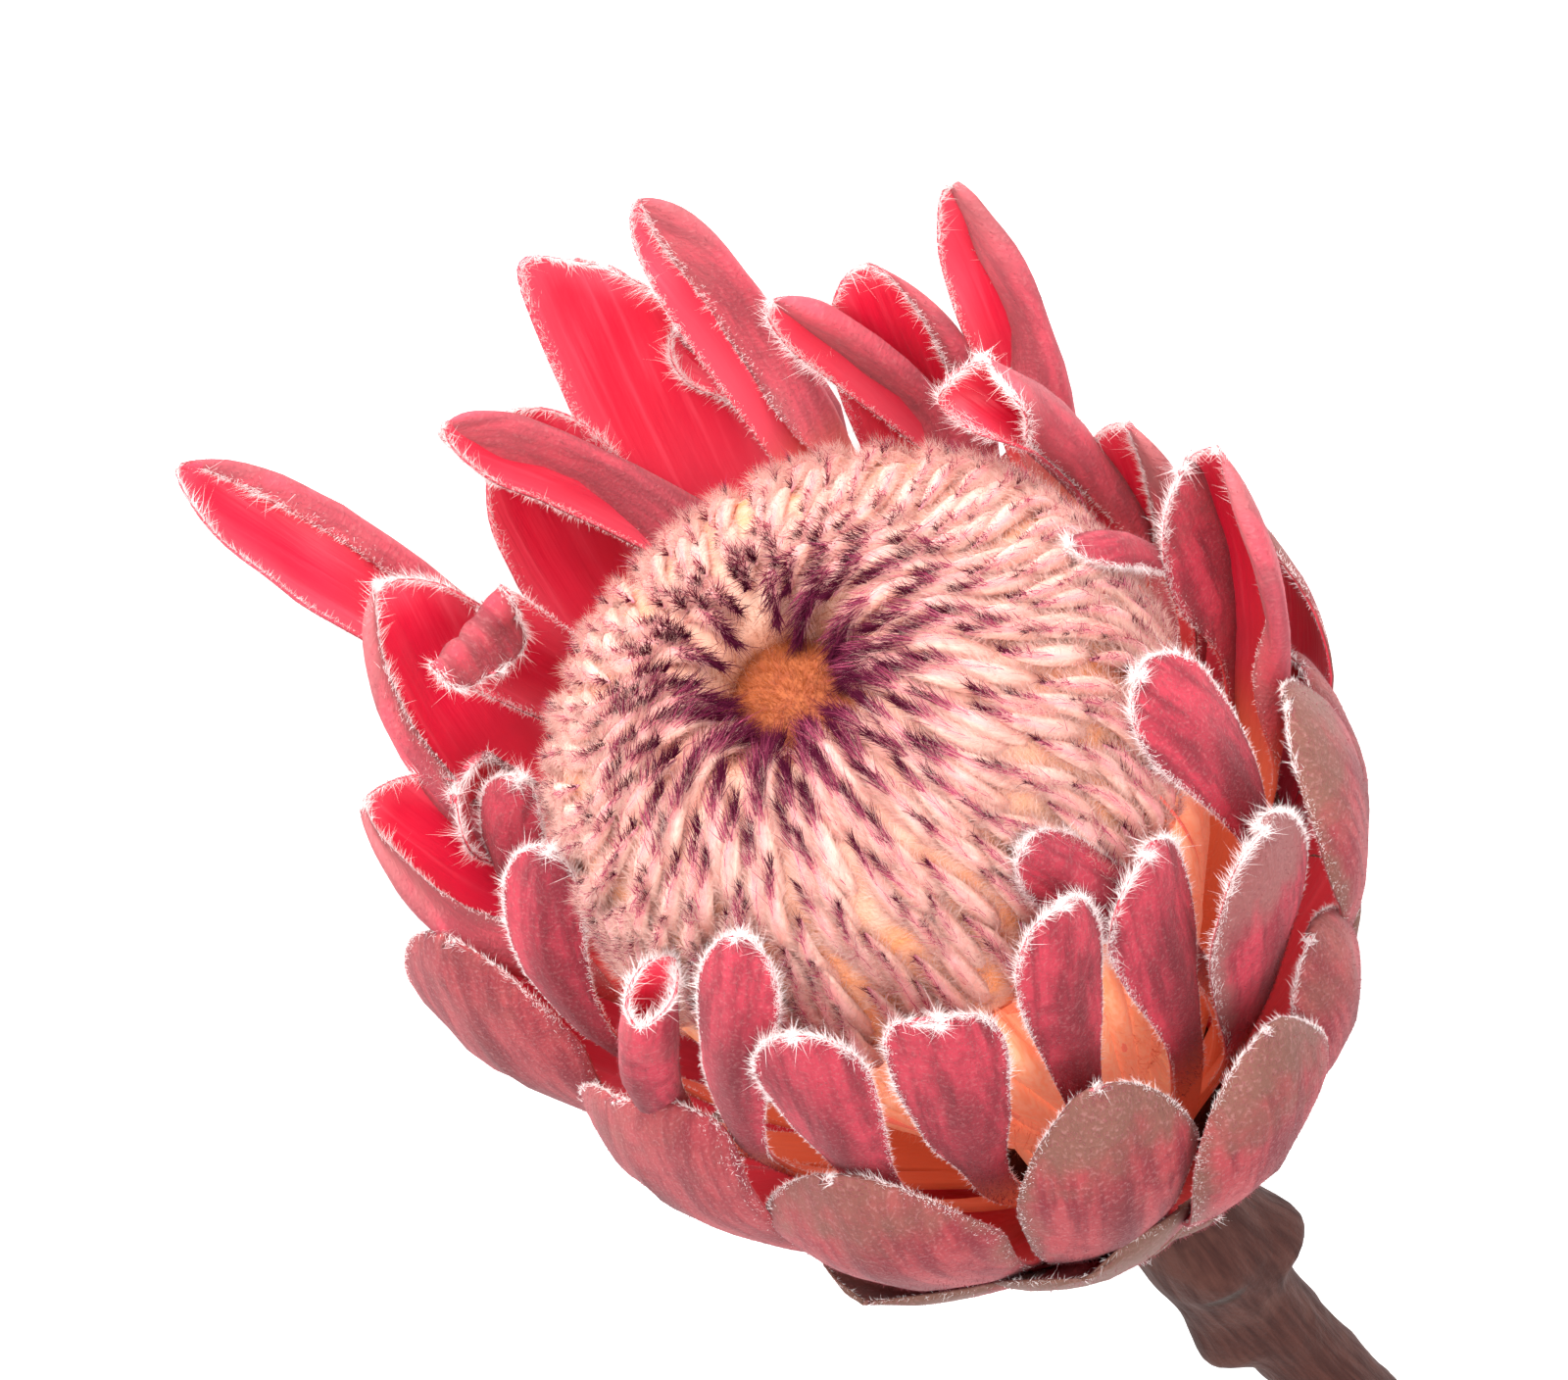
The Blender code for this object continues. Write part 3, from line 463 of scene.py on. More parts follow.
def blade_skin(blade, habit, lit_through_pink=0.0):
    """One closed skin round a blade: points, quads and the marks that its material reads.

    The last argument is how far its velvet goes to a light pink, a painted light that stands in for
    daylight shining through the thin velvet from behind."""
    half = 0.5 * blade.thickness[..., None] * blade.normal
    loop = np.concatenate((blade.middle + half, (blade.middle - half)[:, ::-1]), axis=1)
    rows, sides = loop.shape[:2]
    columns = sides // 2
    faces = tube_faces(rows, sides)
    j = np.arange(columns - 1)
    strip = np.stack((j, j + 1, sides - 2 - j, sides - 1 - j), axis=1)
    faces = np.concatenate((faces, strip[:, ::-1], strip + (rows - 1) * sides))
    sideways = np.concatenate((blade.sideways, blade.sideways[:, ::-1]), axis=1)
    lengthwise = np.repeat(blade.u[:, None] * blade.length, sides, axis=1)
    place = np.stack((sideways, lengthwise, np.full_like(sideways, 10.0 * blade.seed)), axis=-1)
    half_width = np.where(sideways < 0, blade.sideways[:, :1], blade.sideways[:, -1:])
    from_side = np.abs(half_width) - np.abs(sideways)
    from_side = from_side + 40.0 * (1.0 - smoothstep(0.3, 0.6, blade.u))[:, None]
    from_tip = (1.0 - blade.u[:, None]) * blade.length
    inside = np.repeat(((np.arange(sides) >= columns) * 1.0)[None], rows, axis=0) * (habit.grey <= 1.0)
    marks = {
        "place": place.reshape(-1, 3),
        "from_edge": np.minimum(from_side, from_tip * np.ones(sides)).ravel(),
        "from_tip": np.repeat(from_tip, sides, axis=1).ravel(),
        "from_rib": np.abs(sideways).ravel(),
        "inside": inside.ravel(),
        "age": np.full(rows * sides, habit.grey),
        "lit_through_pink": np.full(rows * sides, lit_through_pink),
    }
    return loop.reshape(-1, 3), faces, marks


def gather(parts):
    """Puts several skins together as one: points, faces and marks."""
    start = 0
    faces = []
    for points, own, marks in parts:
        faces.append(own + start)
        start += len(points)
    marks = {key: np.concatenate([p[2][key] for p in parts]) for key in parts[0][2]}
    return np.concatenate([p[0] for p in parts]), np.concatenate(faces), marks


def make_joined(name, parts, material):
    """One piece from several skins, or from several bundles of hairs, in the head's own frame."""
    points, faces, marks = gather(parts)
    return make_piece(name, in_place(points), faces, material, marks)


def turned(profile, sides):
    """A skin turned round the head's axis from (radius, height) points."""
    turn = even_angles(sides)
    points = np.stack((profile[:, :1] * np.cos(turn), profile[:, :1] * np.sin(turn),
                       np.repeat(profile[:, 1:], sides, axis=1)), axis=-1)
    return points.reshape(-1, 3), tube_faces(len(profile), sides)[:, ::-1]


def scale_rows():
    """The low rows of scales, as they stand round the receptacle."""
    # Row, number of scales, tip radius, tip height, width, lean and the first one's azimuth
    rules = (
        (ROW_BASE, 7, 13.2, 21.5, 11.5, 48, 10.0),
        (ROW_LOW, 8, 21.2, 32.5, 16.0, 52, 33.0),
        (ROW_MIDDLE, 9, 30.0, 46.5, 20.0, 60, -18.0),
    )
    draw = random.Random(11)
    for row, count, reach, height, width, lean, first in rules:
        for k in range(count):
            azimuth = first + 360.0 * k / count + draw.uniform(-4, 4)
            taller = draw.uniform(-1.0, 1.0)
            yield row, Bract(azimuth, reach, height + taller, width, lean, 36, 5, 5, 0, 0.7,
                             Habit(blunt=2.6, grey=1.1))


scales = list(scale_rows())
outer_rows = scales + [(ROW_OUTER, bract) for bract in OUTER_BRACTS]
outer_blades = [
    grow_blade(row, bract, 1.37 * k + 0.5, *((20, 13) if k < len(scales) else (34, 21)))
    for k, (row, bract) in enumerate(outer_rows)
]

velvet = bpy.data.node_groups.new("velvet skin", "ShaderNodeTree")
for name, kind in (("Place", "Vector"), ("From Tip", "Float"), ("From Edge", "Float"),
                   ("From Rib", "Float"), ("Age", "Float"), ("Rose", "Color"),
                   ("Crimson", "Color"), ("Grey", "Color")):
    velvet.interface.new_socket(name=name, in_out="INPUT", socket_type="NodeSocket" + kind)
for name, kind in (("Colour", "Color"), ("Relief", "Float")):
    velvet.interface.new_socket(name=name, in_out="OUTPUT", socket_type="NodeSocket" + kind)
wiring = Wiring(velvet)
given = velvet.nodes.new("NodeGroupInput").outputs
streaks = wiring.cloud(wiring.stretch(given["Place"], (0.75, 0.11, 1.0)), 1.0, 4.0, 0.6)
mottle = wiring.cloud(given["Place"], 0.55, 4.0, 0.6)
speckle = wiring.cloud(given["Place"], 3.2, 2.0, 0.5)
patches = wiring.cloud(given["Place"], 0.28, 3.0, 0.55)
colour = wiring.blend(wiring.between(streaks, 0.38, 0.66), given["Rose"], given["Crimson"])
colour = wiring.blend(wiring.between(mottle, 0.45, 0.7, 0.0, 0.55), colour, given["Crimson"])
keel = wiring.between(given["From Rib"], 0.3, 2.6, 0.75, 0.0)
keel = wiring.math("MULTIPLY", keel, wiring.between(given["From Tip"], 3.0, 12.0))
colour = wiring.blend(keel, colour, wiring.blend(1.0, given["Crimson"], (0.55, 0.45, 0.5), "MULTIPLY"))
tipward = wiring.between(given["From Tip"], 0.5, 13.0, 1.0, 0.0)
margin = wiring.between(given["From Edge"], 0.2, 3.2, 0.75, 0.0)
aged = wiring.math("MULTIPLY", wiring.math("MAXIMUM", tipward, margin), given["Age"])
aged = wiring.math("ADD", aged, wiring.math("MULTIPLY_ADD", patches, 1.3, -0.62))
aged = wiring.between(aged, 0.15, 0.85)
colour = wiring.blend(wiring.math("MULTIPLY", aged, given["Age"], clamp=True), colour, given["Grey"])
colour = wiring.blend(wiring.between(speckle, 0.5, 0.75, 0.0, 0.2), colour, (0.62, 0.30, 0.30))
leave = velvet.nodes.new("NodeGroupOutput")
wiring.feed(leave.inputs["Colour"], colour)
wiring.feed(leave.inputs["Relief"], wiring.math("MULTIPLY_ADD", speckle, 0.5, streaks))


def let_light_through(material, wiring, shader, share, **glow):
    """Mixes into a thin piece's material the share of light that shines through from behind."""
    both = wiring.node("MixShader")
    wiring.feed(both.inputs[0], share)
    wiring.feed(both.inputs[1], shader.outputs[0])
    wiring.feed(both.inputs[2], wiring.node("BsdfTranslucent", **glow).outputs[0])
    wiring.feed(material.node_tree.nodes["Material Output"].inputs["Surface"], both.outputs[0])


def bract_skin(name, rose, crimson, grey, red, pale_red, through, claw=0.0):
    """Velvet outside and smooth, lit-through red inside, told apart by the blade's own mark.

    claw is how much of the orange of the florets the narrow lower part of a bract takes on, and how
    strongly that part glows: a painted light, an emission that brightens it in the shade deep in the cup."""
    material, wiring, shader = new_material(name)
    place = wiring.mark("place").outputs["Vector"]
    from_tip = wiring.mark("from_tip").outputs["Fac"]
    from_edge = wiring.mark("from_edge").outputs["Fac"]
    inside = wiring.mark("inside").outputs["Fac"]
    skin = wiring.node("Group", {"node_tree": velvet}, Place=place, From_Tip=from_tip,
                       From_Edge=from_edge, From_Rib=wiring.mark("from_rib").outputs["Fac"],
                       Age=wiring.mark("age").outputs["Fac"], Rose=rose, Crimson=crimson, Grey=grey)
    veins = wiring.cloud(wiring.stretch(place, (1.3, 0.07, 1.0)), 1.0, 3.0, 0.5)
    faded = wiring.between(from_edge, 0.2, 3.5, 0.45, 0.0)
    faded = wiring.math("ADD", faded, wiring.between(veins, 0.5, 0.8, 0.0, 0.3))
    faded = wiring.math("ADD", faded, wiring.between(from_tip, 10.0, 30.0, 0.0, 0.4), clamp=True)
    smooth = wiring.blend(faded, red, pale_red)
    inner = wiring.between(inside, 0.35, 0.65)
    # Painted light: on the far bracts the velvet turns a lighter pink, standing in for daylight that shines
    # through it from behind.
    lit_through_pink = wiring.mark("lit_through_pink").outputs["Fac"]
    outside = wiring.blend(lit_through_pink, skin.outputs["Colour"], (0.80, 0.19, 0.23))
    colour = wiring.blend(inner, outside, smooth)
    colour = wiring.blend(wiring.between(from_tip, 22.0, 34.0, 0.0, claw), colour, (0.74, 0.22, 0.10))
    wiring.feed(shader.inputs["Base Color"], colour)
    # Painted light: the claws of the inner bracts glow faintly orange, an emission that brightens them in
    # the shade deep in the cup; the outer bracts, with no claw share, do not glow.
    shader.inputs["Emission Color"].default_value = (0.4, 0.104, 0.04, 1.0)
    wiring.feed(shader.inputs["Emission Strength"], wiring.between(from_tip, 24.0, 36.0, 0.0, 0.25 * claw))
    wiring.feed(shader.inputs["Roughness"], wiring.between(inside, 0.35, 0.65, 0.85, 0.42))
    shader.inputs["Sheen Weight"].default_value = 0.08
    shader.inputs["Sheen Roughness"].default_value = 0.5
    shader.inputs["Sheen Tint"].default_value = (1.0, 0.82, 0.84, 1.0)
    relief = wiring.blend(inner, skin.outputs["Relief"], veins)
    normal = wiring.bump(relief, 0.6, 0.0003)
    wiring.feed(shader.inputs["Normal"], normal)
    let_light_through(material, wiring, shader, through, Normal=normal,
                      Color=wiring.blend(0.5, colour, pale_red))
    return material


outer_skin = bract_skin("outer bract skin", (0.35, 0.040, 0.050), (0.18, 0.010, 0.020),
                        (0.15, 0.066, 0.046), (0.64, 0.006, 0.034), (0.90, 0.10, 0.15), 0.18)
skins = [blade_skin(blade, bract.habit) for blade, (row, bract) in zip(outer_blades, outer_rows)]
outer = make_joined("outer_bract_blades", skins, outer_skin)
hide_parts("outer_bracts")

profile = np.array(RECEPTACLE_PROFILE[1:-1])
rings = []
for a, b in zip(profile, profile[1:]):
    rings += [a + (b - a) * share for share in (0.0, 0.5)]
rings = np.array(rings + [profile[-1]])
points, faces = turned(rings, RECEPTACLE_SIDES)
points = points + unit(points * (1, 1, 0)) * 0.25 * lumps(points, 1.6, 2.0)[:, None]
last = len(points) - RECEPTACLE_SIDES
caps = [list(range(RECEPTACLE_SIDES))[::-1], list(range(last, len(points)))]
none = np.zeros(len(points))
make_piece("receptacle", in_place(points), faces[:, ::-1], bark,
           {"grain": points, "scar": none, "on_end": none}, lone=caps)

# Inner bracts
# Slim spoons on narrow claws that stand in a ring inside the cup and bend over the florets.
# They are deep rose and velvety outside, hot red and smooth inside, with woolly tips. The
# tall ones stand on one side, and many fold a margin over and show their velvet there.

ROW_INNER = Row(10.6, 30.0, 56.0, 0.45, 0.3, 1.1)
ROW_SPOON = ROW_INNER._replace(claw=0.36, widens=0.58)
ROW_WEDGE = ROW_INNER._replace(claw=0.34, widens=0.5, full=0.92)
INNER_BRACTS = (
    Bract(-9, 27, 83, 8.5, 80, 30, 0, 0, 23, 0.7, Habit(grey=0.2)),
    Bract(-31, 27, 81, 9.5, 92, 25, 0, 10, 18, 0.5, Habit(slant=-0.35, blunt=3.0, grey=0.2)),
    Bract(-48, 26.5, 84, 9.5, 99, 28, 0, 0, 12, 0.6, Habit(grey=0.2)),
    Bract(-73, 21, 90, 7, 123, 30, 0, 0, 30, 0.8, Habit(grey=0.2)),
    Bract(-88, 24.5, 85.5, 13, 124, 176, 0, 0, 20, 0.3, Habit(blunt=60.0, notch=4.5, grey=0.4)),
    Bract(-97, 24.5, 83.5, 7, 130, 25, 0, 0, -14, 0.7, Habit(twist=-60, grey=0.2)),
    Bract(-117, 30.5, 78.5, 7, 131, 25, 0, 0, -17, 0.7, Habit(twist=-60)),
    Bract(-149, 37.5, 77, 9, 104, 40, 10, 0, 15, 0.4, Habit(fold_left=(0.85, 130), blunt=5.0)),
    Bract(-165, 37, 89.4, 9, 91, 30, 0, 0, 16, 0.5,
          Habit(curl=(3.6, 160), slant=-0.2, blunt=6.0, grey=0.5)),
    Bract(56, 25.5, 84, 9.5, 110, 25, 0, 0, 2, 0.7, Habit(twist=25, grey=0.2)),
    Bract(18, 27, 78, 11.5, 84, 25, 0, 0, 13, 0.6, Habit(grey=0.2)),
    Bract(40, 22, 85, 6.5, 99, 30, 0, 0, -22, 0.8, Habit(grey=0.2)),
    Bract(106, 24, 84, 4.8, 135, 50, 10, 10, -13, 0.8),
    Bract(98, 35, 80.5, 12.5, 93, 30, 0, 0, -2, 0.8, Habit(twist=60, grey=0.5)),
    Bract(111, 34.5, 87, 14, 109, 178, 10, 10, 15, 0.4, Habit(blunt=6.0, mouth=0.6, grey=0.4)),
    Bract(131, 38.6, 92, 6.5, 97, 60, 20, 20, 22, 0.7, Habit(fold_left=(0.35, 165), grey=0.4)),
    Bract(163, 46, 88.5, 7, 85, 50, 20, 20, -4, 0.8, Habit(fold_left=(0.35, 165), hook=6.0)),
    Bract(-194, 44.5, 94.2, 7, 85, 60, 20, 20, 27, 0.8, Habit(fold_left=(0.35, 165), grey=0.4)),
    Bract(-163, 46.5, 88, 13.5, 81, 35, 0, 0, -11, 0.7, Habit(grey=0.4)),
    Bract(178, 48.5, 93, 15, 78, 30, 0, 0, -8, 0.7, Habit(slant=1.05, blunt=4.5, grey=0.6)),
    Bract(157, 47, 100, 7.8, 79, 35, 0, 0, 6, 1.4, Habit(fold_left=(0.45, 165), grey=0.6)),
    Bract(147, 42, 90, 13, 88, 40, 20, 20, -4, 0.8, Habit(fold_left=(0.72, 150), grey=0.7)),
    Bract(129, 45.5, 95, 9, 83, 60, 20, 20, 2, 1.6, Habit(fold_left=(0.38, 165), grey=0.7)),
    Bract(86, 38, 82, 14, 86, 50, 40, 40, 7, 0.6, Habit(fold_left=(0.65, 155), grey=0.7)),
    Bract(112, 37.5, 76, 12, 84, 40, 10, 10, 2, 0.7, Habit(fold_left=(0.5, 160), grey=1.0)),
    Bract(-133, 45, 88, 17, 81, 50, 20, 20, -18, 0.6, Habit(fold_right=(0.74, 150), grey=0.8)),
    Bract(-156, 59, 101, 10.5, 69, 50, 20, 20, 6, 1.4, Habit(fold_left=(0.68, 160), grey=0.5)),
    Bract(-127, 43, 81, 16, 78, 50, 20, 20, -2, 0.7, Habit(fold_right=(0.6, 160), grey=0.8)),
    Bract(34, 32, 72, 14, 82, 22, 0, 0, 10, 0.7, Habit(twist=15, grey=1.0)),
)

WEDGES = 13
SPOONS = 4
STRAPS = 12
inner_rows = [ROW_WEDGE] * WEDGES + [ROW_SPOON] * SPOONS + [ROW_INNER] * STRAPS
inner_blades = [
    grow_blade(row, bract, 40.3 + 1.71 * k)
    for k, (row, bract) in enumerate(zip(inner_rows, INNER_BRACTS))
]
inner_skin = bract_skin("inner bract skin", (0.50, 0.034, 0.068), (0.18, 0.007, 0.022),
                        (0.23, 0.090, 0.084), (0.65, 0.005, 0.037), (0.95, 0.12, 0.18), 0.3, 0.9)
# All but the near ones and the low last one are a lighter pink outside, a painted light that stands in for
# daylight shining through their thin velvet from behind
skins = [
    blade_skin(blade, bract.habit, 0.28 if WEDGES < k < len(INNER_BRACTS) - 1 else 0.04)
    for k, (blade, bract) in enumerate(zip(inner_blades, INNER_BRACTS))
]
inner = make_joined("inner_bract_blades", skins, inner_skin)
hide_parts("inner_bracts")

# Wool and fuzz of the bracts
# Every bract carries a fringe of white wool along its free edge, thickest on the inner
# bracts' tips, and a short fuzz over its outer face. Each hair is a thin tapering blade.

chance = np.random.default_rng(7)


def at_grid(values, i, j):
    """Values between a grid's points, at fractional rows i and columns j."""
    rows, columns = values.shape[:2]
    i0 = np.clip(np.floor(i).astype(int), 0, rows - 2)
    j0 = np.clip(np.floor(j).astype(int), 0, columns - 2)
    a = np.clip(i - i0, 0, 1)
    b = np.clip(j - j0, 0, 1)
    if values.ndim == 3:
        a, b = a[:, None], b[:, None]
    low = values[i0, j0] * (1 - b) + values[i0, j0 + 1] * b
    high = values[i0 + 1, j0] * (1 - b) + values[i0 + 1, j0 + 1] * b
    return low * (1 - a) + high * a


def comb_hairs(roots, ways, facing, lengths, width, curl, tone, bends=True):
    """Hairs as tapering blades: points, triangles and marks. curl bends each one's tip over."""
    count = len(roots)
    ways = unit(ways)
    side = unit(np.cross(ways, facing)) * (0.5 * width)
    tone_of = np.asarray(tone, float)
    if not bends:
        tips = roots + (ways + 0.5 * curl) * lengths[:, None]
        points = np.stack((roots - side, roots + side, tips), axis=1)
        faces = np.arange(3 * count).reshape(-1, 3)
        along = np.tile((0.0, 0.0, 1.0), count)
        return points.reshape(-1, 3), faces, {"along": along, "tone": np.repeat(tone_of, 3)}
    mid = roots + (ways + 0.15 * curl) * (0.55 * lengths)[:, None]
    tips = roots + (ways + 0.6 * curl) * lengths[:, None]
    points = np.stack((roots - side, roots + side, mid + 0.6 * side, mid - 0.6 * side, tips), axis=1)
    first = 5 * np.arange(count)[:, None]
    faces = np.concatenate((first + (0, 1, 2), first + (0, 2, 3), first + (3, 2, 4)))
    along = np.tile((0.0, 0.0, 0.55, 0.55, 1.0), count)
    return points.reshape(-1, 3), faces, {"along": along, "tone": np.repeat(tone_of, 5)}


def scatter(count, spread=1.0):
    return chance.normal(0.0, spread, (count, 3))


def fringe(blade, count, length, start):
    """Wool along the free edge of a blade, from a share start of its length to its tip."""
    last, wide = len(blade.u) - 1, len(blade.v) - 1
    edge_rows = np.concatenate((np.arange(last), np.full(wide + 1, last), np.arange(last)[::-1]))
    edge_columns = np.concatenate((np.zeros(last, int), np.arange(wide + 1), np.full(last, wide)))
    steps = np.linalg.norm(np.diff(blade.middle[edge_rows, edge_columns], axis=0), axis=1)
    u = blade.u[edge_rows][1:]
    steps = steps * (u >= start) * (0.3 + smoothstep(0.6, 0.95, u))
    place = np.interp(chance.uniform(0, steps.sum(), count), np.concatenate(([0.0], np.cumsum(steps))),
                      np.arange(len(edge_rows)))
    rows = np.interp(place, np.arange(len(edge_rows)), edge_rows) - np.abs(chance.normal(0, 0.2, count))
    columns = np.interp(place, np.arange(len(edge_rows)), edge_columns)
    columns = 0.5 * wide + (columns - 0.5 * wide) * (1.0 - np.abs(chance.normal(0, 0.06, count)))
    side = columns / (0.5 * wide) - 1.0
    u = np.interp(rows, np.arange(last + 1), blade.u)
    normal = unit(at_grid(blade.normal, rows, columns))
    face = chance.choice((-0.5, 0.5), count)
    roots = at_grid(blade.middle, rows, columns)
    roots = roots + normal * (face * at_grid(blade.thickness, rows, columns))[:, None]
    tipward = smoothstep(0.8, 1.0, u)[:, None]
    out = unit(at_grid(blade.across, rows, columns)) * side[:, None] * (1.2 - tipward)
    out = out + unit(at_grid(blade.along, rows, columns)) * (0.25 + tipward)
    ways = unit(unit(out) + 0.9 * normal * face[:, None] + scatter(count, 0.45))
    clumps = np.sin(1.3 * place + blade.seed) * np.sin(0.43 * place + 2.0 * blade.seed)
    lengths = length * (0.3 + 0.85 * chance.uniform(0, 1, count) ** 2) * (0.3 + 0.7 * tipward[:, 0])
    lengths = lengths * (0.85 + 0.4 * clumps)
    facing = unit(normal + scatter(count, 0.7))
    return comb_hairs(roots, ways, facing, lengths, 0.05, scatter(count, 0.5),
                      chance.uniform(0, 1, count), bends=False)


def fuzz(blade, count, length, start=0.35):
    """Short hairs over a blade's outer face, lying towards its tip."""
    share = 1.0 - (1.0 - start) * chance.uniform(0, 1, count) ** 1.3
    rows = np.interp(share, blade.u, np.arange(len(blade.u)))
    columns = chance.uniform(0, len(blade.v) - 1, count)
    normal = unit(at_grid(blade.normal, rows, columns))
    along = unit(at_grid(blade.along, rows, columns))
    roots = at_grid(blade.middle, rows, columns)
    roots = roots + normal * (0.5 * at_grid(blade.thickness, rows, columns))[:, None]
    ways = along + 0.55 * normal + scatter(count, 0.4)
    lengths = length * chance.uniform(0.6, 1.2, count)
    return comb_hairs(roots, ways, normal, lengths, 0.045, scatter(count, 0.1),
                      chance.uniform(0, 1, count), bends=False)


def hair_material(name, root, tip, other, through=0.35, sheen=0.2):
    """Silky hair: its colour runs from root to tip, and some hairs take another shade."""
    material, wiring, shader = new_material(name)
    along = wiring.mark("along").outputs["Fac"]
    tone = wiring.mark("tone").outputs["Fac"]
    colour = wiring.blend(along, root, tip)
    colour = wiring.blend(wiring.between(tone, 0.4, 1.0), colour, other)
    wiring.feed(shader.inputs["Base Color"], colour)
    shader.inputs["Roughness"].default_value = 0.6
    shader.inputs["Sheen Weight"].default_value = sheen
    shader.inputs["Specular IOR Level"].default_value = sheen
    let_light_through(material, wiring, shader, through, Color=colour)
    return material


white_wool = hair_material("white wool", (0.88, 0.76, 0.76), (0.98, 0.95, 0.94), (0.94, 0.88, 0.87), 0.45)
rose_fuzz = hair_material("rose fuzz", (0.26, 0.035, 0.055), (0.50, 0.18, 0.20), (0.38, 0.09, 0.12))

hairs = [fringe(b, 5200, 1.7, 0.3) for b in inner_blades]
make_joined("inner_bract_wool", hairs, white_wool)
hairs = [fringe(b, 500 if k < len(scales) else 3000, 0.9, 0.4) for k, b in enumerate(outer_blades)]
make_joined("outer_bract_wool", hairs, white_wool)
hairs = [fuzz(b, 700 if k < len(scales) else 2500, 0.42)
         for k, b in enumerate(outer_blades + inner_blades)]
make_joined("bract_fuzz", hairs, rose_fuzz)

# Floret tubes
# The lower parts of the florets: slim orange tubes packed side by side round the middle of
# the head, widening upwards to carry the dome. A few loose red styles lean out between them.

TUBES_PROFILE = np.array((
    (7.9, 27.8), (7.9, 35.0), (12.0, 40.5), (16.6, 47.5), (20.2, 54.5), (22.6, 60.5), (24.0, 66.0),
    (24.4, 70.5),
))
TUBES_IN_LAYER = (64, 56)
TUBE_RINGS = 18
STYLES = 16
STYLE_RINGS = 12
TUBE_HAIRS = 15000
DOME_LEAN = (-5.8, 1.5)
DOME_STRETCH = 0.1


def lean_aside(points):
    """Leans the tubes and the dome to the side where the bracts are tall, but not its pit."""
    points = np.array(points, float)
    z = points[..., 2]
    share = smoothstep(36.0, 62.0, z) * (1.0 - 1.2 * smoothstep(78.0, 92.0, z))
    points[..., 0] = points[..., 0] * (1.0 + DOME_STRETCH * share) + DOME_LEAN[0] * share
    points[..., 1] = points[..., 1] + DOME_LEAN[1] * share
    return points


def tube_along(centres, radii, sides, flat=None, press=1.0):
    """A closed skin round a line of points, with a radius at each, and pressed flat in part."""
    ways = unit(np.gradient(centres, axis=0))
    hint = np.array((0.0, 0.0, 1.0)) if flat is None else flat
    side = unit(np.cross(ways, hint))
    top = np.cross(side, ways) * press
    turn = even_angles(sides)
    ring = side[:, None] * np.cos(turn)[None, :, None] + top[:, None] * np.sin(turn)[None, :, None]
    points = centres[:, None] + ring * radii[:, None, None]
    return points.reshape(-1, 3), tube_faces(len(centres), sides)


orange, wiring, shader = new_material("orange floret tube")
shader.inputs["Subsurface Weight"].default_value = 0.25
shader.inputs["Subsurface Radius"].default_value = (1.0, 0.4, 0.15)
shader.inputs["Subsurface Scale"].default_value = 0.002
place = wiring.mark("grain").outputs["Vector"]
tone = wiring.mark("tone").outputs["Fac"]
streaks = wiring.cloud(wiring.stretch(place, (1.0, 1.0, 0.12)), 1.6, 3.0)
colour = wiring.blend(wiring.between(streaks, 0.35, 0.65), (0.80, 0.29, 0.11), (0.86, 0.48, 0.28))
colour = wiring.blend(wiring.between(tone, 0.5, 1.0, 0.0, 0.5), colour, (0.90, 0.20, 0.10))
colour = wiring.blend(wiring.between(tone, 1.2, 1.6), colour, (0.60, 0.01, 0.03))
wiring.feed(shader.inputs["Base Color"], colour)
shader.inputs["Roughness"].default_value = 0.5
# Painted light: the tubes and styles glow faintly orange, an emission that brightens them where they lie in
# shade between the bracts.
shader.inputs["Emission Color"].default_value = (1.0, 0.40, 0.24, 1.0)
shader.inputs["Emission Strength"].default_value = 0.28
wiring.feed(shader.inputs["Normal"], wiring.bump(streaks, 0.3, 0.0002))

parts = []
height_at = np.linspace(0.0, 1.0, TUBE_RINGS)
legs = way_along(TUBES_PROFILE)
for layer, (count, back) in enumerate(zip(TUBES_IN_LAYER, (0.2, 1.6))):
    for k in range(count):
        angle = 2 * math.pi * (k + 0.5 * layer) / count + chance.normal(0, 0.012)
        run = legs[-1] * height_at
        r = np.interp(run, legs, TUBES_PROFILE[:, 0]) - back - chance.uniform(0, 0.5)
        z = np.interp(run, legs, TUBES_PROFILE[:, 1])
        sway = angle + 0.03 * np.sin(height_at * 5 + chance.uniform(0, 6))
        line = lean_aside(np.stack((r * np.cos(sway), r * np.sin(sway), z), axis=-1))
        thick = 0.055 * r + 0.25
        points, faces = tube_along(line, thick * chance.uniform(0.9, 1.1), 8)
        marks = {"grain": points, "tone": np.full(len(points), chance.uniform(0, 1))}
        parts.append((points, faces, marks))
for k in range(STYLES):
    angle = math.radians(-55.0 + 11.0 * k) + chance.normal(0, 0.05)
    run = np.linspace(0.0, 1.0, STYLE_RINGS)
    r = 19.5 + 6.0 * run + chance.uniform(0.5, 2.5) * np.sin(math.pi * run)
    sway = angle + chance.normal(0, 0.12) * run ** 2
    line = lean_aside(np.stack((r * np.cos(sway), r * np.sin(sway), 52.0 + 22.0 * run), axis=-1))
    points, faces = tube_along(line, np.linspace(0.26, 0.14, STYLE_RINGS), 6)
    parts.append((points, faces, {"grain": points, "tone": np.full(len(points), 2.0)}))
core = np.array(((7.0, 27.8), (7.0, 35.0), (11.0, 40.5), (15.4, 47.5), (18.8, 54.5), (21.2, 60.5),
                 (22.4, 66.0), (22.0, 70.0), (18.9, 77.2), (14.9, 83.3), (9.6, 86.6), (0.05, 87.2)))
points, faces = turned(core, 64)
points = lean_aside(points)
parts.append((points, faces[:, ::-1], {"grain": points, "tone": np.full(len(points), 0.3)}))
tubes = make_joined("floret_tube_bundle", parts, orange)
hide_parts("floret_tubes")

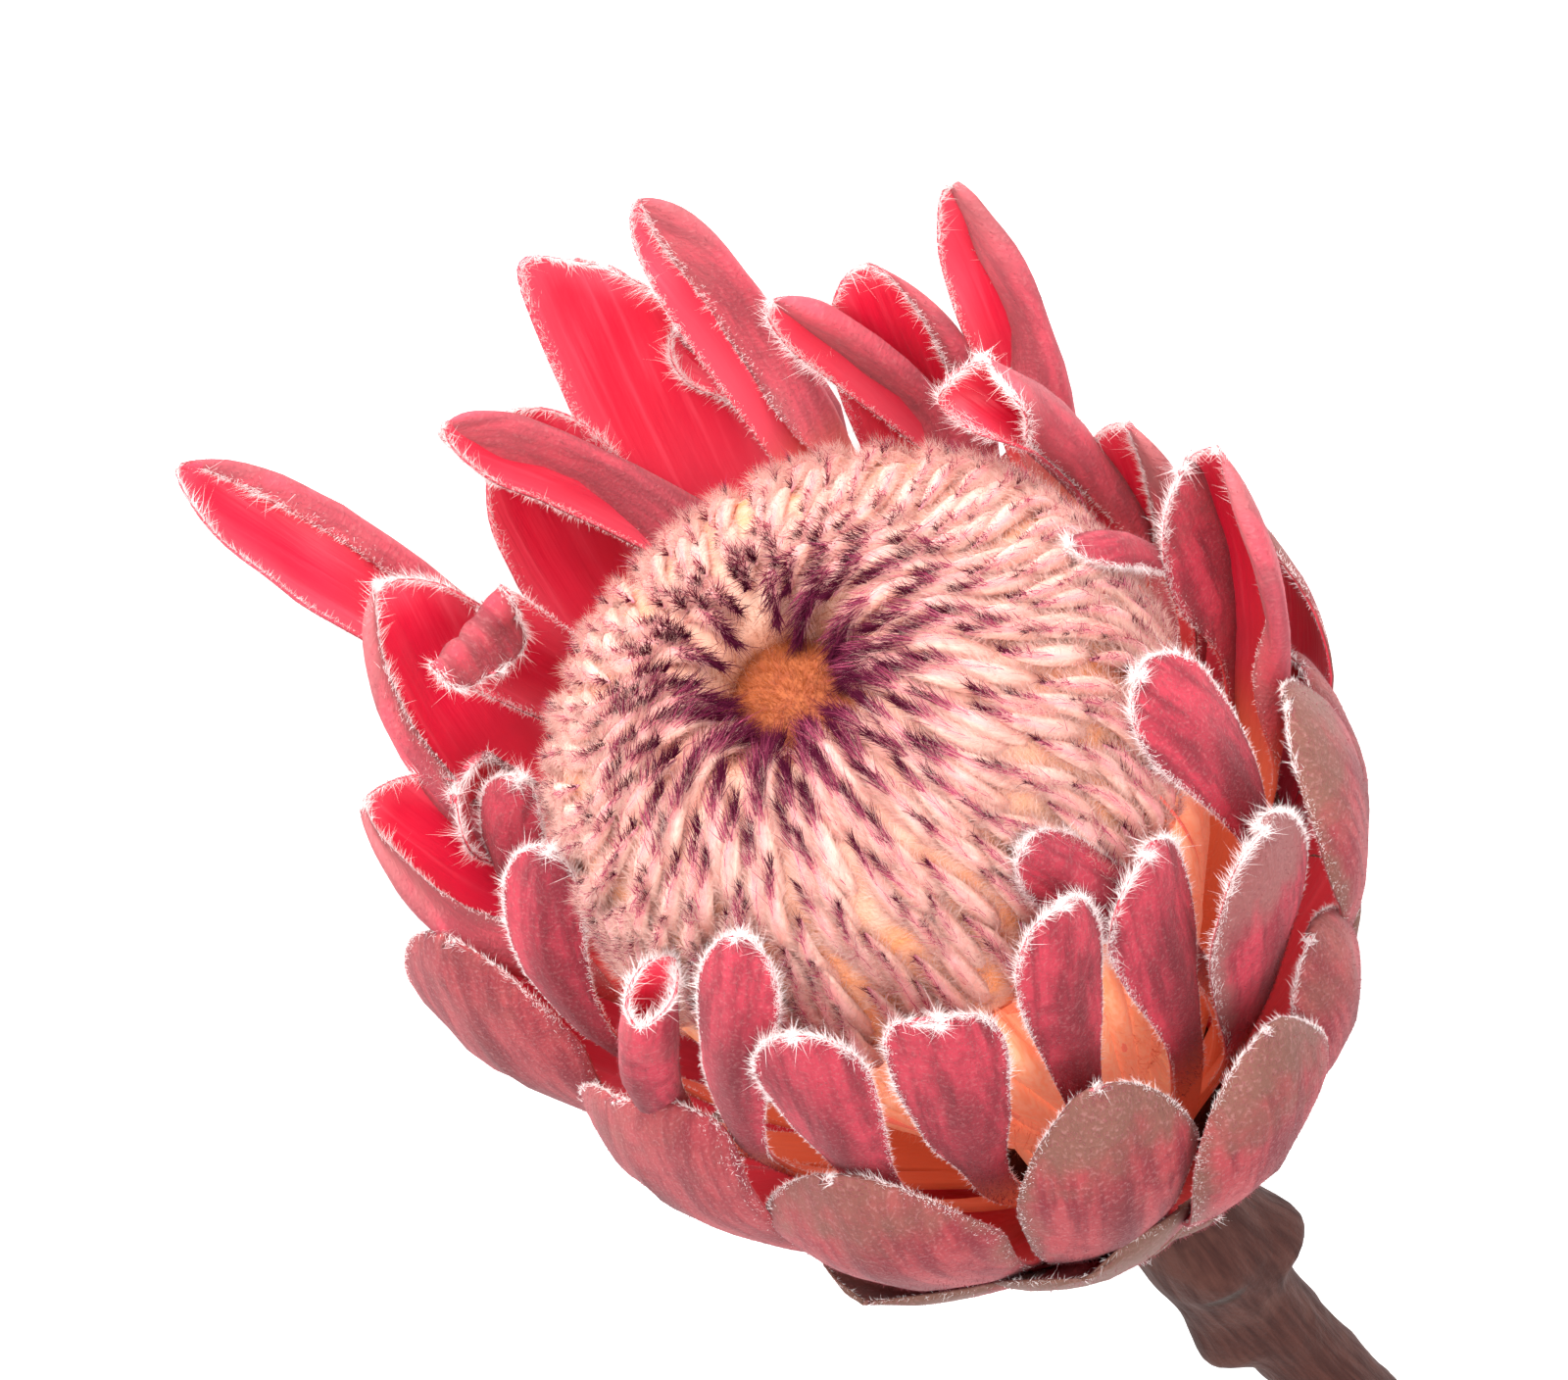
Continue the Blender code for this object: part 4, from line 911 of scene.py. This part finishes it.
angle = chance.uniform(0, 2 * math.pi, TUBE_HAIRS)
run = legs[-1] * chance.uniform(0.3, 1.0, TUBE_HAIRS)
r = np.interp(run, legs, TUBES_PROFILE[:, 0]) + 0.2
roots = np.stack((r * np.cos(angle), r * np.sin(angle), np.interp(run, legs, TUBES_PROFILE[:, 1])), axis=-1)
out = np.stack((np.cos(angle), np.sin(angle), np.zeros(TUBE_HAIRS)), axis=-1)
ways = 0.7 * out + (0.0, 0.0, 0.8) + scatter(TUBE_HAIRS, 0.4)
facing = scatter(TUBE_HAIRS)
lengths = 1.7 * chance.uniform(0.4, 1.2, TUBE_HAIRS)
hairs = comb_hairs(lean_aside(roots), ways, facing, lengths, 0.05, scatter(TUBE_HAIRS, 0.3),
                   chance.uniform(0, 1, TUBE_HAIRS), bends=False)
peach_hair = hair_material("peach hair of the tubes", (0.78, 0.34, 0.18), (0.90, 0.62, 0.48),
                           (0.84, 0.40, 0.28))
make_joined("floret_tube_hairs", [hairs], peach_hair)

# Florets
# Some three hundred florets lie up the dome side by side, each a slim pale body in silky wool
# that ends in a tuft of dark bristles, and bend over the top towards the pit in the middle.

DOME_PROFILE = np.array((
    (4.6, 89.6), (5.4, 92.2), (7.0, 94.0), (9.4, 94.3), (12.6, 93.3), (17.0, 90.3), (21.2, 85.5),
    (24.0, 79.5), (25.3, 73.0), (24.2, 69.0),
))
FLORETS = 320
BODY_RINGS = 10
BODY_SIDES = 7
BED_RINGS = 48
BED_SIDES = 96
GOLDEN_ANGLE = math.radians(137.508)
dome_legs = way_along(DOME_PROFILE)
smooth_run = np.linspace(0.0, dome_legs[-1], 240)
smooth_r = np.interp(smooth_run, dome_legs, DOME_PROFILE[:, 0])
smooth_z = np.interp(smooth_run, dome_legs, DOME_PROFILE[:, 1])
kernel = np.hanning(27) / np.hanning(27).sum()
smooth_r = np.convolve(np.pad(smooth_r, 13, mode="reflect", reflect_type="odd"), kernel, "valid")
smooth_z = np.convolve(np.pad(smooth_z, 13, mode="reflect", reflect_type="odd"), kernel, "valid")


def on_dome(run, angle, lift=0.0):
    """Points on the dome: run is the way from the pit's lip in millimetres."""
    run = np.asarray(run, float)
    r = np.interp(run, smooth_run, smooth_r)
    z = np.interp(run, smooth_run, smooth_z)
    step_r = np.interp(run + 0.5, smooth_run, smooth_r) - np.interp(run - 0.5, smooth_run, smooth_r)
    step_z = np.interp(run + 0.5, smooth_run, smooth_z) - np.interp(run - 0.5, smooth_run, smooth_z)
    size = np.maximum(np.hypot(step_r, step_z), 1e-6)
    r = r - lift * step_z / size
    z = z + lift * step_r / size
    return lean_aside(np.stack((r * np.cos(angle), r * np.sin(angle), z), axis=-1))


def dome_normal(run, angle):
    return unit(on_dome(run, angle, 1.0) - on_dome(run, angle, 0.0))


Floret = namedtuple("Floret", "line radii normal share")
florets = []
body_parts = []
for k in range(FLORETS):
    share = 0.065 + 0.88 * ((k + 0.5) / FLORETS) ** 0.74
    angle = k * GOLDEN_ANGLE + chance.normal(0, 0.03)
    tip_run = 0.92 * dome_legs[-1] * share + chance.normal(0, 0.4) - 0.6 * math.cos(angle)
    tip_run = tip_run + 1.7 * math.cos(2 * angle) * (1.0 - smoothstep(0.05, 0.35, share))
    long = (10.5 + 5.0 * share) * chance.uniform(0.9, 1.1)
    t = np.linspace(0.0, 1.0, BODY_RINGS)
    run = tip_run + (1.0 - t) * long - 1.0
    bend = chance.normal(0, 0.5) * np.sin(math.pi * t) + chance.normal(0, 0.4) * t
    reach = np.maximum(np.interp(run, smooth_run, smooth_r), 4.0)
    turned_by = angle + bend / reach
    lift = -1.4 + 1.5 * smoothstep(0.0, 0.7, t) + chance.uniform(-0.1, 0.2) * t
    line = on_dome(run, turned_by, lift)
    radii = (0.72 + 0.22 * np.sin(math.pi * np.clip(t * 1.1, 0, 1))) * (1 - 0.9 * t ** 6)
    radii = radii * (0.25 + 0.75 * smoothstep(0.0, 0.3, t))
    normal = dome_normal(run, turned_by)
    points, faces = tube_along(line, radii, BODY_SIDES, flat=normal.mean(axis=0), press=0.65)
    place = np.stack((np.tile(np.arange(BODY_SIDES) * 0.6, BODY_RINGS), np.repeat(run, BODY_SIDES),
                      np.full(len(points), 3.0 * k)), axis=1)
    from_line = points.reshape(BODY_RINGS, BODY_SIDES, 3) - line[:, None]
    upward = (from_line * normal[:, None]).sum(axis=2) / radii[:, None]
    marks = {"place": place, "along": np.repeat(t, BODY_SIDES), "crest": upward.ravel()}
    body_parts.append((points, faces, marks))
    florets.append(Floret(line, radii, normal, share))

cream, wiring, shader = new_material("floret body")
place = wiring.mark("place").outputs["Vector"]
along = wiring.mark("along").outputs["Fac"]
streaks = wiring.cloud(wiring.stretch(place, (1.0, 0.15, 1.0)), 1.2, 3.0)
colour = wiring.blend(wiring.between(streaks, 0.4, 0.65), (0.76, 0.50, 0.42), (0.72, 0.36, 0.28))
crest = wiring.between(wiring.mark("crest").outputs["Fac"], 0.35, 0.75)
crest = wiring.math("MULTIPLY", crest, wiring.between(along, 0.25, 0.8, 0.0, 0.8))
colour = wiring.blend(crest, colour, (0.66, 0.15, 0.24))
colour = wiring.blend(wiring.between(along, 0.85, 1.0, 0.0, 0.7), colour, (0.38, 0.05, 0.13))
wiring.feed(shader.inputs["Base Color"], colour)
shader.inputs["Roughness"].default_value = 0.7
wiring.feed(shader.inputs["Normal"], wiring.bump(streaks, 0.3, 0.0002))
bodies = make_joined("floret_bodies", body_parts, cream)
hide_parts("floret_plumes")

bed, wiring, shader = new_material("wool between florets")
place = wiring.mark("place").outputs["Vector"]
deep = wiring.cloud(place, 0.35, 4.0)
low = wiring.mark("low").outputs["Fac"]
colour = wiring.blend(low, (0.66, 0.34, 0.25), (0.78, 0.30, 0.12))
colour = wiring.blend(wiring.between(deep, 0.35, 0.65, 0.0, 0.7), colour, (0.74, 0.46, 0.36))
colour = wiring.blend(wiring.mark("lip").outputs["Fac"], colour, (0.40, 0.12, 0.05))
wiring.feed(shader.inputs["Base Color"], colour)
shader.inputs["Roughness"].default_value = 0.9
wiring.feed(shader.inputs["Normal"], wiring.bump(wiring.cloud(place, 3.0, 3.0), 0.8, 0.0004))
run = np.linspace(0.0, dome_legs[-1] - 0.5, BED_RINGS)
down_and_back = np.concatenate((run, run[::-1]))
depth = np.repeat((-0.7, -2.6), BED_RINGS)[:, None]
angle = np.tile(even_angles(BED_SIDES), (2 * BED_RINGS, 1))
points = on_dome(np.tile(down_and_back[:, None], BED_SIDES), angle, depth).reshape(-1, 3)
k = np.arange(BED_SIDES)
after = (k + 1) % BED_SIDES
last_ring = len(points) - BED_SIDES
close = np.stack((k + last_ring, after + last_ring, after, k), axis=1)
faces = np.concatenate((tube_faces(2 * BED_RINGS, BED_SIDES), close))[:, ::-1]
low = 1.0 - smoothstep(80.0, 91.0, points[:, 2])
lip = 0.85 * (1.0 - smoothstep(2.0, 6.5, np.repeat(down_and_back, BED_SIDES)))
make_piece("dome_wool_bed", in_place(points), faces, bed,
           {"place": points, "low": low, "lip": lip})


def floret_hairs(floret, count, low, high, spread, length, width, flare, pink=None, rise=0.0):
    """Hairs on a floret's upper side between two shares of its length, combed to its tip.

    Those of a tuft bend and stand up from it, and are pinker at its rear, from a share pink."""
    t = chance.uniform(low, high, count)
    tone = chance.uniform(0, 1, count) + 0.6 * (1.0 - smoothstep(0.08, 0.34, floret.share))
    if pink is not None:
        t = high - (high - low) * chance.uniform(0, 1, count) ** 1.6
        tone = chance.uniform(0, 0.3, count) + pink + 0.6 * (high - t) / (high - low)
    at = t * (len(floret.line) - 1)
    centre, normal, way = (
        at_grid(np.repeat(values[:, None], 2, axis=1), at, np.zeros(count))
        for values in (floret.line, floret.normal, np.gradient(floret.line, axis=0))
    )
    normal = unit(normal)
    way = unit(way)
    side = unit(np.cross(way, normal))
    angle = chance.normal(0, spread, count)
    spoke = normal * np.cos(angle)[:, None] + side * np.sin(angle)[:, None]
    radius = np.interp(at, np.arange(len(floret.radii)), floret.radii)
    roots = centre + spoke * radius[:, None] + 0.6 * rise * normal
    ways = way + flare * spoke + rise * normal + scatter(count, 0.35 if pink is None else 0.16)
    lengths = length * chance.uniform(0.6, 1.2, count)
    facing = unit(0.6 * spoke + scatter(count, 0.8))
    return comb_hairs(roots, ways, facing, lengths, width, scatter(count, 0.25), tone,
                      bends=pink is not None)


silk = hair_material("cream silk", (0.66, 0.42, 0.365), (0.83, 0.68, 0.62), (0.70, 0.36, 0.33), 0.4)
bristle = hair_material("dark bristles", (0.10, 0.009, 0.03), (0.05, 0.005, 0.018), (0.44, 0.08, 0.15),
                        0.05, 0.0)
for batch in range(3):
    hairs = [floret_hairs(f, 790, 0.08, 0.93, 1.1, 1.4, 0.045, 0.6) for f in florets[batch::3]]
    make_joined(f"floret_silk_{batch + 1}", hairs, silk)
tufts = []
for f in florets:
    near = 1.0 - smoothstep(0.08, 0.68, f.share)
    close = 1.0 - smoothstep(0.1, 0.36, f.share)
    count = int(32 + 90 * near + 70 * close)
    tufts.append(floret_hairs(f, count, 0.83 - 0.09 * near - 0.06 * close, 1.0, 0.25 + 0.35 * near,
                              1.6 + 0.8 * near, 0.075 + 0.015 * near, 0.3, pink=0.3 - 0.36 * near,
                              rise=0.4))
    tufts.append(floret_hairs(f, 12, 0.3, 0.8, 0.12, 2.4, 0.06, 0.02, pink=0.75, rise=0.1))
make_joined("floret_tufts", tufts, bristle)

PIT_SHAPE = (1.3, 0.85, 1.0)
PIT_SIDES = 40
PIT_RADIUS = 6.4
PIT_HAIRS = 5000
pit_mound = np.array(((8.2, 88.0), (6.6, 90.0), (5.4, 91.4), (3.8, 92.1), (2.0, 92.3), (0.05, 92.2)))
points, faces = turned(pit_mound, PIT_SIDES)
pit, wiring, shader = new_material("orange floret tips in the pit")
place = wiring.mark("place").outputs["Vector"]
tips = wiring.cloud(place, 1.1, 3.0)
colour = wiring.blend(wiring.between(tips, 0.35, 0.65), (0.24, 0.042, 0.007), (0.30, 0.068, 0.014))
wiring.feed(shader.inputs["Base Color"], colour)
shader.inputs["Roughness"].default_value = 0.8
wiring.feed(shader.inputs["Normal"], wiring.bump(tips, 0.6, 0.0005))
points = lean_aside(points * PIT_SHAPE)
make_piece("pit_floret_tips", in_place(points), faces[:, ::-1], pit, {"place": points},
           lone=[list(range(len(points) - PIT_SIDES, len(points)))])

turn = chance.uniform(0, 2 * math.pi, PIT_HAIRS)
out = np.sqrt(chance.uniform(0.0, 1.0, PIT_HAIRS)) * PIT_RADIUS
height = np.interp(out, pit_mound[::-1, 0], pit_mound[::-1, 1])
roots = lean_aside(np.stack((out * np.cos(turn), out * np.sin(turn), height), axis=-1) * PIT_SHAPE)
ways = np.stack((0.6 * np.cos(turn), 0.6 * np.sin(turn), np.ones(PIT_HAIRS)), axis=-1)
ways = ways + scatter(PIT_HAIRS, 0.4)
facing = scatter(PIT_HAIRS)
lengths = 0.9 * chance.uniform(0.5, 1.3, PIT_HAIRS)
hairs = comb_hairs(roots, ways, facing, lengths, 0.05, scatter(PIT_HAIRS, 0.3),
                   np.clip(out / PIT_RADIUS, 0.0, 1.0) ** 3, bends=False)
turn = chance.uniform(0, 2 * math.pi, PIT_HAIRS)
run = 6.5 * chance.uniform(0, 1, PIT_HAIRS)
ways = dome_normal(run, turn) + scatter(PIT_HAIRS, 0.5)
lengths = 1.6 * chance.uniform(0.5, 1.2, PIT_HAIRS)
facing = scatter(PIT_HAIRS)
lip_hairs = comb_hairs(on_dome(run, turn, -0.6), ways, facing, lengths, 0.05, scatter(PIT_HAIRS, 0.3),
                       chance.uniform(0.3, 1.2, PIT_HAIRS), bends=False)
orange_fuzz = hair_material("orange fuzz", (0.34, 0.07, 0.012), (0.45, 0.12, 0.028), (0.62, 0.30, 0.22))
make_joined("pit_fuzz", [hairs, lip_hairs], orange_fuzz)

# Light and floor
# The flower lies on a plain white surface in soft daylight from behind and to the left, and a
# second, weaker light from the front opens the shadows between its bracts.

floor_mesh = bpy.data.meshes.new("floor")
floor_mesh.from_pydata([(-4, -4, 0), (4, -4, 0), (4, 4, 0), (-4, 4, 0)], [], [(0, 1, 2, 3)])
floor = bpy.data.objects.new("floor", floor_mesh)
bpy.context.scene.collection.objects.link(floor)
white, wiring, shader = new_material("white floor")
shader.inputs["Base Color"].default_value = (0.93, 0.93, 0.93, 1.0)
shader.inputs["Roughness"].default_value = 0.9
shader.inputs["Emission Color"].default_value = (1.0, 1.0, 1.0, 1.0)
shader.inputs["Emission Strength"].default_value = 0.4
floor_mesh.materials.append(white)
floor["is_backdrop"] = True

world = bpy.data.worlds.new("studio")
world.use_nodes = True
world.node_tree.nodes["Background"].inputs["Color"].default_value = (1.0, 1.0, 1.0, 1.0)
world.node_tree.nodes["Background"].inputs["Strength"].default_value = 1.0
bpy.context.scene.world = world

# The camera looks down on the flower from above its open face
spin = math.radians(126.8)
tilt = math.radians(42.0)
back = np.array((math.sin(tilt), 0.0, math.cos(tilt)))
level = np.array((-math.cos(tilt), 0.0, math.sin(tilt)))
right = math.cos(spin) * level + math.sin(spin) * np.array((0.0, 1.0, 0.0))
up = math.sin(spin) * level - math.cos(spin) * np.array((0.0, 1.0, 0.0))
spot = np.array((0.0, 0.0, 92.0)) + 480.0 * back
camera = bpy.data.objects.new("camera", bpy.data.cameras.new("camera"))
camera.data.lens = 143.9
camera.data.sensor_width = 36.0
camera.data.shift_x = -5.0 / 1600.0
camera.data.shift_y = -4.0 / 1600.0
camera.data.clip_start = 0.01
axes = np.stack((right @ HEAD_AXES, up @ HEAD_AXES, back @ HEAD_AXES), axis=1)
camera.matrix_world = Matrix.Translation(Vector(in_place(spot) * MM)) @ Matrix(axes.tolist()).to_4x4()
bpy.context.scene.collection.objects.link(camera)
bpy.context.scene.camera = camera

middle = np.array(in_place((0.0, 0.0, 70.0))) * MM


def soft_light(name, right_up_back, distance, size, watts, colour):
    """A square soft light, placed by how far right, up and towards the camera it lies."""
    way = unit(axes @ np.array(right_up_back, float))
    lamp = bpy.data.objects.new(name, bpy.data.lights.new(name, "AREA"))
    lamp.data.size = size
    lamp.data.energy = watts
    lamp.data.color = colour
    lamp.location = Vector(middle + way * distance)
    lamp.rotation_mode = "QUATERNION"
    lamp.rotation_quaternion = Vector(way).to_track_quat("Z", "Y")
    bpy.context.scene.collection.objects.link(lamp)


soft_light("window", (-0.45, 0.75, 0.75), 0.9, 0.7, 20.0, (1.0, 0.98, 0.95))
soft_light("reflector", (0.3, -0.3, 1.0), 1.0, 0.8, 13.0, (1.0, 1.0, 1.0))
bpy.context.scene.view_settings.view_transform = "Standard"

low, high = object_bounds()
{"cad": [list(cad_low), list(cad_high)], "visual": [list(low), list(high)]}
